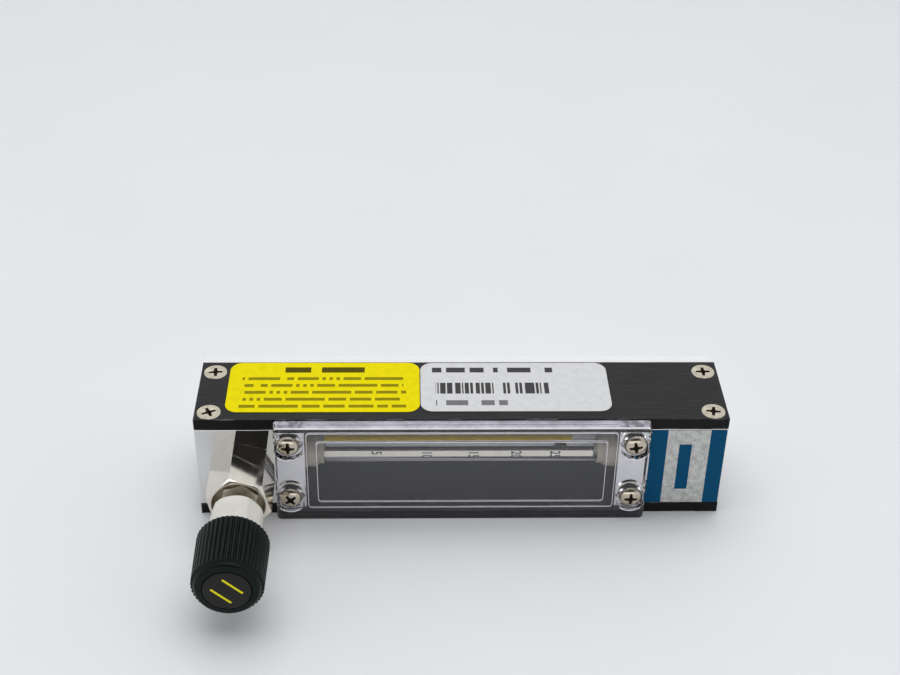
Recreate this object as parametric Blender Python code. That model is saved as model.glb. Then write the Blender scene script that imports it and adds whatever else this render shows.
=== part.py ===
"""Compact variable-area gas flowmeter with a fine metering valve, lying on its side plate.

Frame: metres, +Z up. The origin is the centre of the lower side plate's outer face. +X runs from the
valve end to the outlet end, and -Y is the front, where the window and the knob are.
Every round piece is turned about an axis given by an empty, whose local Z points out of the body.
"""

import math

import bmesh
import bpy
from mathutils import Matrix, Vector

MM = 0.001

# Clearances
SEAM = 0.1 * MM  # between two fixed pieces that touch, are pressed together or are screwed together
RUNNING = 0.05 * MM  # radial, around a piece that turns or slides in another

# Frame
FRAME_LENGTH = 126.0 * MM
FRAME_WIDTH = 28.6 * MM  # across both side plates: the height as it lies
FRAME_DEPTH = 23.0 * MM
SIDE_PLATE = 2.9 * MM
BLOCK_LENGTH = 25.8 * MM
BACK_PLATE = 3.2 * MM
BACK_PLATE_WIDTH = 28.0 * MM
BACK_PLATE_CORNER = 0.3 * MM
MID_Z = FRAME_WIDTH / 2
END_X = FRAME_LENGTH / 2
FRONT_Y = -FRAME_DEPTH / 2
REAR_Y = FRAME_DEPTH / 2
BLOCK_FACE_X = END_X - BLOCK_LENGTH

# Lines that the pieces are built round
PORT_X = 52.0 * MM  # valve and inlet at -X, outlet at +X
TUBE_Y = -3.25 * MM
FLOAT_X = 24.4 * MM

# Screws: number 4 machine screws
SCREW_SHANK_R = 1.42 * MM
SCREW_HOLE_R = 1.6 * MM
TAPPED_R = 1.55 * MM
TAPPED_DEPTH = 6.8 * MM
SCREW_REACH = 6.2 * MM  # length of shank inside a block
SCREW_POINT = 0.4 * MM
FLAT_HEAD_R = 2.85 * MM
FLAT_HEAD_DEPTH = 1.65 * MM
FLAT_HEAD_SINK = 0.05 * MM
PAN_HEAD_R = 2.75 * MM
PAN_HEAD_HEIGHT = 1.7 * MM
COUNTERBORE_R = 3.5 * MM
RECESS_ARM = 1.6 * MM
RECESS_WIDTH = 0.75 * MM
RECESS_DEPTH = 1.15 * MM
RECESS_TAPER = 0.55  # size of the cross at its bottom, as a share of its size at the top
PAN_HEAD_ROUND = ((0, 0.62), (0.25, 0.9), (0.6, 1.0))  # shares of the height, from the top, and of the radius
SIDE_SCREW_X = 59.6 * MM
SIDE_SCREW_Y = (-8.4 * MM, 7.6 * MM)
SIDE_SCREW_TURNS = (25, 5, 80, 0)  # degrees
SHIELD_SCREW_X = 41.0 * MM
SHIELD_SCREW_Z = 7.9 * MM  # each side of the middle
SHIELD_SCREW_TURNS = (0, 38, 10, 0)

# Front shield
SHIELD_LENGTH = 88.7 * MM
SHIELD_WIDTH = 28.0 * MM
SHIELD_THICK = 3.0 * MM
SHIELD_EDGE = 0.4 * MM
SHIELD_CORNER = 0.8 * MM
REBATE_LENGTH = 73.6 * MM  # the shallow outer step in its back
REBATE_WIDTH = 22.8 * MM
REBATE_WALL = 2.3 * MM  # what is left of the thickness there
POCKET_LENGTH = 68.8 * MM
POCKET_WIDTH = 18.4 * MM
POCKET_WALL = 1.5 * MM
COUNTERBORE_DEPTH = 1.7 * MM

# Flow tube, its seats and its stops, along X
TUBE_R = 3.5 * MM
TUBE_HALF = 37.7 * MM
BORE_R_LOW = 1.65 * MM
BORE_R_HIGH = 2.15 * MM
FLOAT_R = 1.5875 * MM
SEAT_R = 4.5 * MM
SEAT_SHOWS_TO = 33.0 * MM
SEAT_SHOULDER = 38.9 * MM
SEAT_END = 41.1 * MM
SEAT_HOLE_R = 1.6 * MM
SEAL_HOLE_R = 1.9 * MM
LOW_STOP_X = -34.5 * MM
HIGH_STOP_X = 32.6 * MM
STOP_HOLE_R = 0.8 * MM
HIGH_STOP_R = 2.0 * MM
SEAT_BORE_R = SEAT_R + SEAM
CLAMP_STEP_X = 43.1 * MM
CLAMP_R = 5.2 * MM  # thread of the tube clamp and of the end plug
CLAMP_END_X = 50.0 * MM
CLAMP_SOCKET = 5.0 * MM
CLAMP_SOCKET_X = 47.5 * MM
PLUG_X = 55.6 * MM
PLUG_SOCKET = 5.5 * MM
PLUG_SOCKET_X = 59.2 * MM
PLUG_SINK = 0.3 * MM
CLAMP_RING_X = 45.2 * MM
PLUG_RING_X = 57.6 * MM

# Sealing rings: round section
RING_SECTION_R = 0.45 * MM
GROOVE_HALF = 0.6 * MM
GROOVE_DEPTH = 1.1 * MM

# Valve: distances out of the block's front face
PASSAGE_R = 1.5 * MM
SHANK_R = 5.4 * MM
SHANK_IN = -6.3 * MM
CHAMBER_R = 3.5 * MM
CHAMBER_IN = -12.5 * MM
VALVE_SEAT_R = 2.9 * MM
VALVE_SEAT_IN = -15.3 * MM
ORIFICE_R = 0.8 * MM
VALVE_SEAT_RING = -13.9 * MM
HEX_ACROSS = 13.6 * MM  # bonnet and both pipe fittings
BONNET_OUT = 13.9 * MM
BONNET_TURN = math.radians(-17)
RIM_R = 6.6 * MM
RIM_CHAMFER = 0.65 * MM
RIM_CHAMFER_MIDDLE_R = 1.07 * RIM_R
RECESS_R = 6.15 * MM
RECESS_IN = 10.1 * MM
GLAND_R = 3.6 * MM
GLAND_IN = 4.4 * MM
SPINDLE_BORE_R = 2.6 * MM
GUIDE_R = 3.3 * MM
GUIDE_OUT = -4.6 * MM
BONNET_RING = -1.3 * MM
PACKING_THICK = 1.3 * MM
GLAND_NUT_ACROSS = 8.0 * MM
GLAND_NUT_OUT = 12.2 * MM
NEEDLE_ACROSS = 3.6 * MM
NEEDLE_TIP = -13.4 * MM
NEEDLE_TIP_R = 0.3 * MM
NEEDLE_TAPER = -10.1 * MM
NEEDLE_R = 0.75 * MM
NEEDLE_HEX_IN = -8.5 * MM
NEEDLE_HEX_OUT = -1.6 * MM
NECK_R = 0.7 * MM
NECK_OUT = 0.2 * MM
BUTTON_R = 1.2 * MM
BUTTON_OUT = 1.1 * MM
SPINDLE_NOSE = -1.3 * MM
SPINDLE_THREAD_R = SPINDLE_BORE_R - SEAM
SPINDLE_THREAD_OUT = 2.5 * MM
SPINDLE_R = 1.6 * MM
SPINDLE_OUT = 38.5 * MM

# Collar, knob and what holds the knob: distances out of the block's front face
COLLAR_ACROSS = 11.4 * MM
COLLAR_CORNER_R = 6.05 * MM
COLLAR_IN = 16.8 * MM
COLLAR_OUT = 29.7 * MM
COLLAR_TURN = math.radians(10.6)
COLLAR_EDGE = 0.4 * MM
KNOB_IN = 26.4 * MM
KNOB_RIBS_OUT = 40.2 * MM
KNOB_OUT = 41.7 * MM
KNOB_IN_R = 8.28 * MM
KNOB_RIBS_OUT_R = 8.05 * MM
KNOB_FACE_R = 6.7 * MM
KNOB_ROUND = (0.4 * MM, 0.5 * MM)  # along and out, at the front edge
RIBS = 45
RIB_HEIGHT = 0.38 * MM
RIB_SHAPE = ((0.1, 0), (0.45, 0), (0.75, RIB_HEIGHT))  # share of the way to the next rib, and drop
KNOB_SOCKET_R = 6.7 * MM
KNOB_BORE_R = 2.7 * MM
KNOB_WEB_OUT = 36.9 * MM
CAP_POCKET_R = 5.4 * MM
COLLET_IN = 30.3 * MM
COLLET_OUT = 39.6 * MM
COLLET_R = 2.6 * MM
COLLET_THREAD_R = 2.2 * MM
COLLET_NUT_ACROSS = 7.0 * MM
COLLET_NUT_OUT = 39.4 * MM
CAP_IN = 39.9 * MM
CAP_OUT = 41.95 * MM
CAP_WALL = 0.6 * MM
CAP_THICK = 1.05 * MM
CAP_EDGE = 0.15 * MM

# Pipe fittings: distances out of the block's rear face
FITTING_SHANK_R = 5.0 * MM
FITTING_IN = -6.2 * MM
FITTING_OUT = 12.2 * MM
PORT_R = 4.35 * MM  # female one-eighth inch pipe thread
PORT_DEPTH = 7.3 * MM
FITTING_BORE_R = 2.2 * MM
FITTING_RING = -1.5 * MM
FITTING_HOLE_R = 5.3 * MM
INLET_HEX_TURN = math.radians(36.4)
OUTLET_HEX_TURN = 0.0

# Labels
LABEL_THICK = 0.1 * MM
LABEL_GAP = 0.05 * MM
LABEL_CORNER = 3.0 * MM
FOIL_CORNER = 0.2 * MM
YELLOW_X, YELLOW_Y = (-56.0 * MM, -10.0 * MM), (-8.7 * MM, 11.1 * MM)
WHITE_X, WHITE_Y = (-9.8 * MM, 35.7 * MM), (-8.5 * MM, 11.0 * MM)
BLUE_X, BLUE_Z = (44.6 * MM, 62.8 * MM), (-11.2 * MM, 11.0 * MM)

# Facets round a circle: a piece with a hexagon needs a multiple of six
COARSE = 12
SMALL = 16
PLAIN = 24
FINE = 36


MATERIALS = {
    "black_anodised": ((0.016, 0.016, 0.018), 0.45, 0.6),
    "chrome": ((0.80, 0.80, 0.79), 0.06, 1.0),
    "nickel": ((0.72, 0.68, 0.61), 0.18, 1.0),
    "clear_plastic": ((0.80, 0.80, 0.86), 0.08, 0.0),
    "glass": ((0.85, 0.88, 0.88), 0.04, 0.0),
    "white_acrylic": ((0.86, 0.86, 0.86), 0.25, 0.0),
    "white_acetal": ((0.84, 0.83, 0.80), 0.40, 0.0),
    "cream_ptfe": ((0.78, 0.74, 0.62), 0.50, 0.0),
    "brass": ((0.66, 0.47, 0.18), 0.30, 1.0),
    "stainless": ((0.55, 0.55, 0.54), 0.25, 1.0),
    "float_glass": ((0.03, 0.03, 0.04), 0.08, 0.0),
    "rubber": ((0.012, 0.012, 0.012), 0.75, 0.0),
    "black_knob": ((0.014, 0.018, 0.017), 0.50, 0.0),
    "grey_cap": ((0.035, 0.033, 0.030), 0.50, 0.0),
    "yellow_label": ((0.90, 0.80, 0.01), 0.40, 0.0),
    "white_label": ((0.76, 0.76, 0.76), 0.40, 0.0),
    "blue_label": ((0.0, 0.09, 0.17), 0.40, 0.0),
}


def clear_scene():
    for old in list(bpy.data.objects):
        bpy.data.objects.remove(old, do_unlink=True)


def material(name):
    """The named finish, made the first time that a piece asks for it."""
    if name in bpy.data.materials:
        return bpy.data.materials[name]
    colour, roughness, metallic = MATERIALS[name]
    made = bpy.data.materials.new(name)
    made.use_nodes = True
    made.diffuse_color = (*colour, 1.0)
    shader = made.node_tree.nodes["Principled BSDF"]
    shader.inputs["Base Color"].default_value = (*colour, 1.0)
    shader.inputs["Roughness"].default_value = roughness
    shader.inputs["Metallic"].default_value = metallic
    return made


def empty(name, location, rotation=(0.0, 0.0, 0.0), parent=None):
    made = bpy.data.objects.new(name, None)
    made.location = location
    made.rotation_euler = rotation
    made.parent = parent
    made.empty_display_size = 5 * MM
    bpy.context.scene.collection.objects.link(made)
    return made


def place(name, mesh, finish, parent=None, location=(0.0, 0.0, 0.0), rotation=(0.0, 0.0, 0.0)):
    """Puts a mesh in the scene as one piece, with its finish and its place."""
    made = bpy.data.objects.new(name, mesh)
    made.parent = parent
    made.location = location
    made.rotation_euler = rotation
    if finish and not mesh.materials:
        mesh.materials.append(material(finish))
    bpy.context.scene.collection.objects.link(made)
    return made


def mesh_from(shape, name):
    """Turns a bmesh into a mesh whose faces point out and whose round faces are shaded smooth."""
    bmesh.ops.recalc_face_normals(shape, faces=shape.faces)
    mesh = bpy.data.meshes.new(name)
    shape.to_mesh(mesh)
    shape.free()
    mesh.shade_smooth()
    mesh.set_sharp_from_angle(angle=math.radians(30))
    return mesh


def lofted(name, rings, looped=False):
    """Bridges rings of points, in order. A ring of one point closes an end; a looped set has no ends."""
    shape = bmesh.new()
    rows = [[shape.verts.new(point) for point in ring] for ring in rings]
    following = rows[1:] + (rows[:1] if looped else [])
    for low, high in zip(rows, following):
        count = max(len(low), len(high))
        for i in range(count):
            j = (i + 1) % count
            corners = [low[i % len(low)], low[j % len(low)], high[j % len(high)], high[i % len(high)]]
            shape.faces.new(list(dict.fromkeys(corners)))
    for end in (rows[0], rows[-1]):
        if not looped and len(end) > 1:
            shape.faces.new(end)
    return mesh_from(shape, name)


def ring_radius(angle, radius, across, turn):
    """Distance out at one angle: a circle, or a hexagon whose corners the circle trims."""
    if not across:
        return radius
    off_flat = (angle - turn) % math.radians(60) - math.radians(30)
    return min(radius, across / 2 / math.cos(off_flat))


def ring(along, radius, facets, across=0.0, turn=0.0):
    """One ring of a turned piece, starting at a corner where it is a hexagon."""
    if not radius:
        return [(0.0, 0.0, along)]
    angles = [turn + i * math.tau / facets for i in range(facets)]
    reach = [ring_radius(a, radius, across, turn) for a in angles]
    return [(r * math.cos(a), r * math.sin(a), along) for a, r in zip(angles, reach)]


def turned(name, profile, facets=PLAIN, turn=0.0):
    """A piece turned about local Z. A profile point is (along, radius), or (along, radius, across flats).

    A profile that starts and ends at radius 0 is solid there, and any other profile is a closed loop.
    """
    rings = [ring(p[0], p[1], facets, *(p[2:] or (0.0,)), turn) for p in profile]
    return lofted(name, rings, looped=bool(profile[0][1]))


def rounded_rectangle(along, length, width, corner, steps=2):
    """Points round a rectangle with round corners, in local X and Y, at a height along local Z."""
    points = []
    for quarter, (sx, sy) in enumerate(((1, 1), (-1, 1), (-1, -1), (1, -1))):
        for i in range(steps + 1):
            a = math.radians(90) * (quarter + i / steps)
            x = sx * (length / 2 - corner) + corner * math.cos(a)
            y = sy * (width / 2 - corner) + corner * math.sin(a)
            points.append((x, y, along))
    return points


def box_mesh(name, low, high):
    """A plain block between two corners."""
    shape = bmesh.new()
    bmesh.ops.create_cube(shape, size=1.0)
    size = [b - a for a, b in zip(low, high)]
    middle = [(a + b) / 2 for a, b in zip(low, high)]
    bmesh.ops.transform(shape, matrix=Matrix.LocRotScale(middle, None, size), verts=shape.verts)
    return mesh_from(shape, name)


def cut(target, mesh, parent=None, location=(0.0, 0.0, 0.0), rotation=(0.0, 0.0, 0.0)):
    """Cuts one shape out of a piece, and keeps the cutter as a hidden guide."""
    cutter = place(mesh.name, mesh, None, parent, location, rotation)
    cutter.hide_render = True
    cutter.display_type = "WIRE"
    modifier = target.modifiers.new(mesh.name, "BOOLEAN")
    modifier.operation = "DIFFERENCE"
    modifier.solver = "EXACT"
    modifier.object = cutter
    return cutter


def settled(target):
    """The piece's mesh with its cuts made, for pieces that are repeated. The piece and its cutters go."""
    bpy.context.view_layer.update()
    graph = bpy.context.evaluated_depsgraph_get()
    mesh = bpy.data.meshes.new_from_object(target.evaluated_get(graph))
    mesh.shade_smooth()
    mesh.set_sharp_from_angle(angle=math.radians(30))
    for cutter in [modifier.object for modifier in target.modifiers]:
        bpy.data.objects.remove(cutter, do_unlink=True)
    bpy.data.objects.remove(target, do_unlink=True)
    return mesh


def axes():
    """The empties that the turned pieces hang on. Local Z points out of the body, or along +X in the tube."""
    quarter = math.radians(90)
    return {
        "valve": empty("valve_axis", (-PORT_X, FRONT_Y, MID_Z), (quarter, 0, 0)),
        "inlet": empty("inlet_axis", (-PORT_X, REAR_Y, MID_Z), (-quarter, 0, 0)),
        "outlet": empty("outlet_axis", (PORT_X, REAR_Y, MID_Z), (-quarter, 0, 0)),
        "tube": empty("tube_axis", (0, TUBE_Y, MID_Z), (0, quarter, 0)),
        "front": empty("front_face", (0, FRONT_Y, MID_Z), (quarter, 0, 0)),
        "rear": empty("rear_face", (0, REAR_Y, MID_Z), (-quarter, 0, 0)),
        "upper": empty("upper_face", (0, 0, FRAME_WIDTH)),
        "lower": empty("lower_face", (0, 0, 0), (math.radians(180), 0, 0)),
    }


# Frame


def side_screw_places():
    return [(x, y) for x in (-SIDE_SCREW_X, SIDE_SCREW_X) for y in SIDE_SCREW_Y]


def shield_screw_places():
    return [(x, z) for x in (-SHIELD_SCREW_X, SHIELD_SCREW_X) for z in (SHIELD_SCREW_Z, -SHIELD_SCREW_Z)]


def countersink(name):
    """Cutter for a flat-head screw's hole through a side plate, measured from the outer face."""
    mouth = FLAT_HEAD_R + SEAM
    depth = FLAT_HEAD_DEPTH - SEAM
    through = -SIDE_PLATE - SEAM
    profile = [
        (SEAM, 0), (SEAM, mouth), (0, mouth),
        (-depth, SCREW_HOLE_R), (through, SCREW_HOLE_R), (through, 0),
    ]
    return turned(name, profile)


def side_plate(which, parent):
    """One anodised plate, with a countersunk hole at each corner. It is modelled from its outer face in."""
    bar = box_mesh(which, (-END_X, FRONT_Y, -SIDE_PLATE), (END_X, REAR_Y, 0))
    plate = place(which + "_side_plate", bar, "black_anodised", parent)
    flip = -1 if which == "lower" else 1
    for i, (x, y) in enumerate(side_screw_places()):
        cut(plate, countersink(f"{which}_countersink_{i}"), parent, (x, flip * y, 0))


def tapped(name, start):
    """Cutter for a tapped hole that starts at a face and goes in."""
    end = start - TAPPED_DEPTH
    return turned(name, [(SEAM + start, 0), (SEAM + start, TAPPED_R), (end, TAPPED_R), (end, 0)], COARSE)


def end_block(name, side, on):
    """A chromed block between the side plates at one end, tapped for its screws. side is -1 or 1."""
    near, far = sorted((side * BLOCK_FACE_X, side * END_X))
    low = (near, FRONT_Y, SIDE_PLATE + SEAM)
    high = (far, REAR_Y, FRAME_WIDTH - SIDE_PLATE - SEAM)
    block = place(name, box_mesh(name, low, high), "chrome")
    for i, (x, y) in enumerate(side_screw_places()):
        if x * side > 0:
            cut(block, tapped(f"{name}_upper_hole_{i}", -SIDE_PLATE - SEAM), on["upper"], (x, y, 0))
            cut(block, tapped(f"{name}_lower_hole_{i}", -SIDE_PLATE - SEAM), on["lower"], (x, -y, 0))
    for i, (x, z) in enumerate(shield_screw_places()):
        if x * side > 0:
            cut(block, tapped(f"{name}_front_hole_{i}", 0), on["front"], (x, z, 0))
    return block


def inlet_block(on):
    """The block that holds the valve. Gas comes in at the rear and leaves along the tube's axis."""
    block = end_block("inlet_block", -1, on)
    rear = -FRAME_DEPTH
    fitting_floor = rear - FITTING_IN + SEAM
    valve_bore = [
        (SEAM, 0), (SEAM, SHANK_R + SEAM), (SHANK_IN - SEAM, SHANK_R + SEAM), (SHANK_IN - SEAM, CHAMBER_R),
        (CHAMBER_IN, CHAMBER_R), (CHAMBER_IN, VALVE_SEAT_R + SEAM), (VALVE_SEAT_IN, VALVE_SEAT_R + SEAM),
        (VALVE_SEAT_IN, PASSAGE_R), (fitting_floor, PASSAGE_R), (fitting_floor, FITTING_SHANK_R + SEAM),
        (rear - SEAM, FITTING_SHANK_R + SEAM), (rear - SEAM, 0),
    ]
    cut(block, turned("inlet_block_valve_bore", valve_bore), on["valve"])
    seat_floor = -SEAT_END - SEAM
    mouth = -BLOCK_FACE_X + SEAM
    tube_bore = [
        (mouth, 0), (mouth, SEAT_BORE_R), (seat_floor, SEAT_BORE_R), (seat_floor, PASSAGE_R),
        (-PORT_X, PASSAGE_R), (-PORT_X, 0),
    ]
    cut(block, turned("inlet_block_tube_bore", tube_bore), on["tube"])


def outlet_block(on):
    """The block that the tube is clamped from. Gas turns from the tube's axis to the rear port."""
    block = end_block("outlet_block", 1, on)
    step = CLAMP_STEP_X - SEAM
    tube_bore = [
        (BLOCK_FACE_X - SEAM, 0), (BLOCK_FACE_X - SEAM, SEAT_BORE_R), (step, SEAT_BORE_R),
        (step, CLAMP_R + SEAM), (END_X + SEAM, CLAMP_R + SEAM), (END_X + SEAM, 0),
    ]
    cut(block, turned("outlet_block_tube_bore", tube_bore), on["tube"])
    floor = FITTING_IN - SEAM
    to_tube = TUBE_Y - REAR_Y
    port_bore = [
        (SEAM, 0), (SEAM, FITTING_SHANK_R + SEAM), (floor, FITTING_SHANK_R + SEAM), (floor, PASSAGE_R),
        (to_tube, PASSAGE_R), (to_tube, 0),
    ]
    cut(block, turned("outlet_block_port_bore", port_bore), on["outlet"])


def back_plate(on):
    """The white plate behind the tube, held by the two pipe fittings that pass through it."""
    size = (FRAME_LENGTH, BACK_PLATE_WIDTH, BACK_PLATE_CORNER)
    rings = [rounded_rectangle(h, *size, steps=1) for h in (SEAM, BACK_PLATE)]
    plate = place("back_plate", lofted("back_plate", rings), "white_acrylic", on["rear"])
    for side in (-1, 1):
        out = BACK_PLATE + SEAM
        hole = [(0, 0), (0, FITTING_HOLE_R), (out, FITTING_HOLE_R), (out, 0)]
        cut(plate, turned(f"back_plate_hole_{side}", hole), on["rear"], (side * PORT_X, 0, 0))


def front_shield(on):
    """The clear cover: a flat front, and in its back a stepped pocket over the tube."""
    def outline(out, length, width):
        return rounded_rectangle(out, length, width, SHIELD_CORNER)

    rings = [
        outline(SHIELD_THICK, SHIELD_LENGTH - 2 * SHIELD_EDGE, SHIELD_WIDTH - 2 * SHIELD_EDGE),
        outline(SHIELD_THICK - SHIELD_EDGE, SHIELD_LENGTH, SHIELD_WIDTH),
        outline(SEAM, SHIELD_LENGTH, SHIELD_WIDTH),
        outline(SEAM, REBATE_LENGTH, REBATE_WIDTH),
        outline(SHIELD_THICK - REBATE_WALL, REBATE_LENGTH, REBATE_WIDTH),
        outline(SHIELD_THICK - REBATE_WALL, POCKET_LENGTH, POCKET_WIDTH),
        outline(SHIELD_THICK - POCKET_WALL, POCKET_LENGTH, POCKET_WIDTH),
    ]
    shield = place("front_shield", lofted("front_shield", rings), "clear_plastic", on["front"])
    floor = SHIELD_THICK - COUNTERBORE_DEPTH
    hole = [
        (SHIELD_THICK + SEAM, 0), (SHIELD_THICK + SEAM, COUNTERBORE_R), (floor, COUNTERBORE_R),
        (floor, SCREW_HOLE_R), (0, SCREW_HOLE_R), (0, 0),
    ]
    for i, (x, z) in enumerate(shield_screw_places()):
        cut(shield, turned(f"shield_hole_{i}", hole), on["front"], (x, z, 0))


# Screws


def cross_recess(top):
    """Cutter for a tapering cross recess, from above a screw head down into it."""
    half = RECESS_WIDTH / 2
    outline = [(RECESS_ARM, -half), (RECESS_ARM, half), (half, half)]
    cross = []
    for quarter in range(4):
        turn = Matrix.Rotation(quarter * math.radians(90), 2)
        cross += [turn @ Vector(point) for point in outline]
    sizes = ((top + SEAM, 1.0), (top, 1.0), (top - RECESS_DEPTH, RECESS_TAPER))
    return lofted("cross_recess", [[(p.x * s, p.y * s, h) for p in cross] for h, s in sizes])


def flat_head_mesh():
    """A flat-head screw, measured from the plate's outer face."""
    end = -SIDE_PLATE - SCREW_REACH
    profile = [
        (-FLAT_HEAD_SINK, 0), (-FLAT_HEAD_SINK, FLAT_HEAD_R), (-FLAT_HEAD_DEPTH, SCREW_SHANK_R),
        (end + SCREW_POINT, SCREW_SHANK_R), (end, SCREW_SHANK_R - SCREW_POINT), (end, 0),
    ]
    screw = place("flat_head_screw", turned("flat_head_screw", profile, SMALL), "nickel")
    cut(screw, cross_recess(-FLAT_HEAD_SINK))
    return settled(screw)


def pan_head_mesh():
    """A pan-head screw, measured from the blocks' front face."""
    seat = SHIELD_THICK - COUNTERBORE_DEPTH + SEAM
    top = seat + PAN_HEAD_HEIGHT
    head = [(top - down * PAN_HEAD_HEIGHT, out * PAN_HEAD_R) for down, out in PAN_HEAD_ROUND]
    end = -SCREW_REACH
    profile = [
        (top, 0), *head, (seat, PAN_HEAD_R), (seat, SCREW_SHANK_R),
        (end + SCREW_POINT, SCREW_SHANK_R), (end, SCREW_SHANK_R - SCREW_POINT), (end, 0),
    ]
    screw = place("pan_head_screw", turned("pan_head_screw", profile, SMALL), "nickel")
    cut(screw, cross_recess(top))
    return settled(screw)


def screws(on):
    """Eight flat-head screws in the side plates and four pan-head screws in the shield."""
    flat = flat_head_mesh()
    for which, flip in (("upper", 1), ("lower", -1)):
        for i, (x, y) in enumerate(side_screw_places()):
            turn = (0, 0, math.radians(SIDE_SCREW_TURNS[i]))
            place(f"{which}_side_screw_{i + 1}", flat, None, on[which], (x, flip * y, 0), turn)
    pan = pan_head_mesh()
    for i, (x, z) in enumerate(shield_screw_places()):
        turn = (0, 0, math.radians(SHIELD_SCREW_TURNS[i]))
        place(f"shield_screw_{i + 1}", pan, None, on["front"], (x, z, 0), turn)


# Small repeated shapes


def grooved(outer, ring_at):
    """Profile points of the groove that a sealing ring lies in, met while along rises."""
    floor = outer - GROOVE_DEPTH
    low, high = ring_at - GROOVE_HALF, ring_at + GROOVE_HALF
    return [(low, outer), (low, floor), (high, floor), (high, outer)]


def sealing_ring(name, outer, ring_at, parent):
    """A rubber ring of round section, lying in the groove of a piece of the given outer radius."""
    middle = outer - GROOVE_DEPTH / 2
    steps = [i * math.tau / 6 for i in range(6)]
    section = [(ring_at + RING_SECTION_R * math.sin(a), middle + RING_SECTION_R * math.cos(a)) for a in steps]
    place(name, turned(name, section, SMALL), "rubber", parent)


def bush(name, finish, low, high, inner, outer, parent):
    """A plain ring between two distances along its axis."""
    profile = [(low, inner), (low, outer), (high, outer), (high, inner)]
    place(name, turned(name, profile, SMALL), finish, parent)


# Tube and float


def bore_radius(x):
    """Radius of the tube's tapering bore at a distance along it."""
    share = (x + TUBE_HALF) / (2 * TUBE_HALF)
    return BORE_R_LOW + share * (BORE_R_HIGH - BORE_R_LOW)


def flow_tube(on):
    """The glass tube, whose bore widens towards the outlet."""
    profile = [
        (-TUBE_HALF, bore_radius(-TUBE_HALF)), (-TUBE_HALF, TUBE_R), (TUBE_HALF, TUBE_R),
        (TUBE_HALF, bore_radius(TUBE_HALF)),
    ]
    place("flow_tube", turned("flow_tube", profile), "glass", on["tube"])


def float_ball(on):
    """The ball that rides on the gas, turned from a half circle."""
    steps = [i * math.pi / 8 for i in range(1, 8)]
    profile = [(-FLOAT_R * math.cos(a), FLOAT_R * math.sin(a)) for a in steps]
    profile = [(-FLOAT_R, 0)] + profile + [(FLOAT_R, 0)]
    ball = turned("float_ball", profile, SMALL)
    place("float_ball", ball, "float_glass", on["tube"], (0, 0, FLOAT_X))


def tube_seats(on):
    """At each end: the plastic seat that the tube stands in, the seal under its end, and the float's stop."""
    tube_end = TUBE_HALF + SEAM
    socket_r = TUBE_R + SEAM
    for name, side in (("inlet", -1), ("outlet", 1)):
        profile = [
            (SEAT_SHOWS_TO, socket_r), (SEAT_SHOWS_TO, SEAT_R), (SEAT_END, SEAT_R), (SEAT_END, SEAT_HOLE_R),
            (SEAT_SHOULDER, SEAT_HOLE_R), (SEAT_SHOULDER, socket_r),
        ]
        profile = [(side * along, radius) for along, radius in profile]
        place(f"{name}_tube_seat", turned(f"{name}_tube_seat", profile), "cream_ptfe", on["tube"])
        low, high = sorted((side * tube_end, side * (SEAT_SHOULDER - SEAM)))
        bush(f"{name}_tube_seal", "rubber", low, high, SEAL_HOLE_R, TUBE_R, on["tube"])
    end = TUBE_HALF - SEAM
    bush("inlet_float_stop", "cream_ptfe", -end, LOW_STOP_X, STOP_HOLE_R, BORE_R_LOW - SEAM, on["tube"])
    bush("outlet_float_stop", "cream_ptfe", HIGH_STOP_X, end, STOP_HOLE_R, HIGH_STOP_R, on["tube"])


def tube_clamp(on):
    """The hollow screw that presses the tube between its seats, turned through the end plug's hole."""
    nose = SEAT_END + SEAM
    profile = [
        (nose, SEAT_HOLE_R), (nose, SEAT_R), (CLAMP_STEP_X, SEAT_R), (CLAMP_STEP_X, CLAMP_R),
        *grooved(CLAMP_R, CLAMP_RING_X), (CLAMP_END_X, CLAMP_R), (CLAMP_END_X, CLAMP_R, CLAMP_SOCKET),
        (CLAMP_SOCKET_X, CLAMP_R, CLAMP_SOCKET), (CLAMP_SOCKET_X, SEAT_HOLE_R),
    ]
    place("tube_clamp_screw", turned("tube_clamp_screw", profile), "brass", on["tube"])
    sealing_ring("clamp_screw_ring", CLAMP_R, CLAMP_RING_X, on["tube"])


def end_plug(on):
    """The socket plug that closes the end of the outlet block."""
    out = END_X - PLUG_SINK
    profile = [
        (PLUG_X, 0), (PLUG_X, CLAMP_R), *grooved(CLAMP_R, PLUG_RING_X), (out, CLAMP_R),
        (out, CLAMP_R, PLUG_SOCKET), (PLUG_SOCKET_X, CLAMP_R, PLUG_SOCKET), (PLUG_SOCKET_X, 0),
    ]
    place("end_plug", turned("end_plug", profile), "nickel", on["tube"])
    sealing_ring("end_plug_ring", CLAMP_R, PLUG_RING_X, on["tube"])


# Valve


def valve_seat(on):
    """The plastic seat that the needle's tip closes, sealed by a ring in its groove."""
    top = CHAMBER_IN - SEAM
    floor = VALVE_SEAT_IN + SEAM
    profile = [
        (floor, ORIFICE_R), (floor, VALVE_SEAT_R), *grooved(VALVE_SEAT_R, VALVE_SEAT_RING),
        (top, VALVE_SEAT_R), (top, ORIFICE_R),
    ]
    place("valve_seat", turned("valve_seat", profile), "cream_ptfe", on["valve"])
    sealing_ring("valve_seat_ring", VALVE_SEAT_R, VALVE_SEAT_RING, on["valve"])


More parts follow.
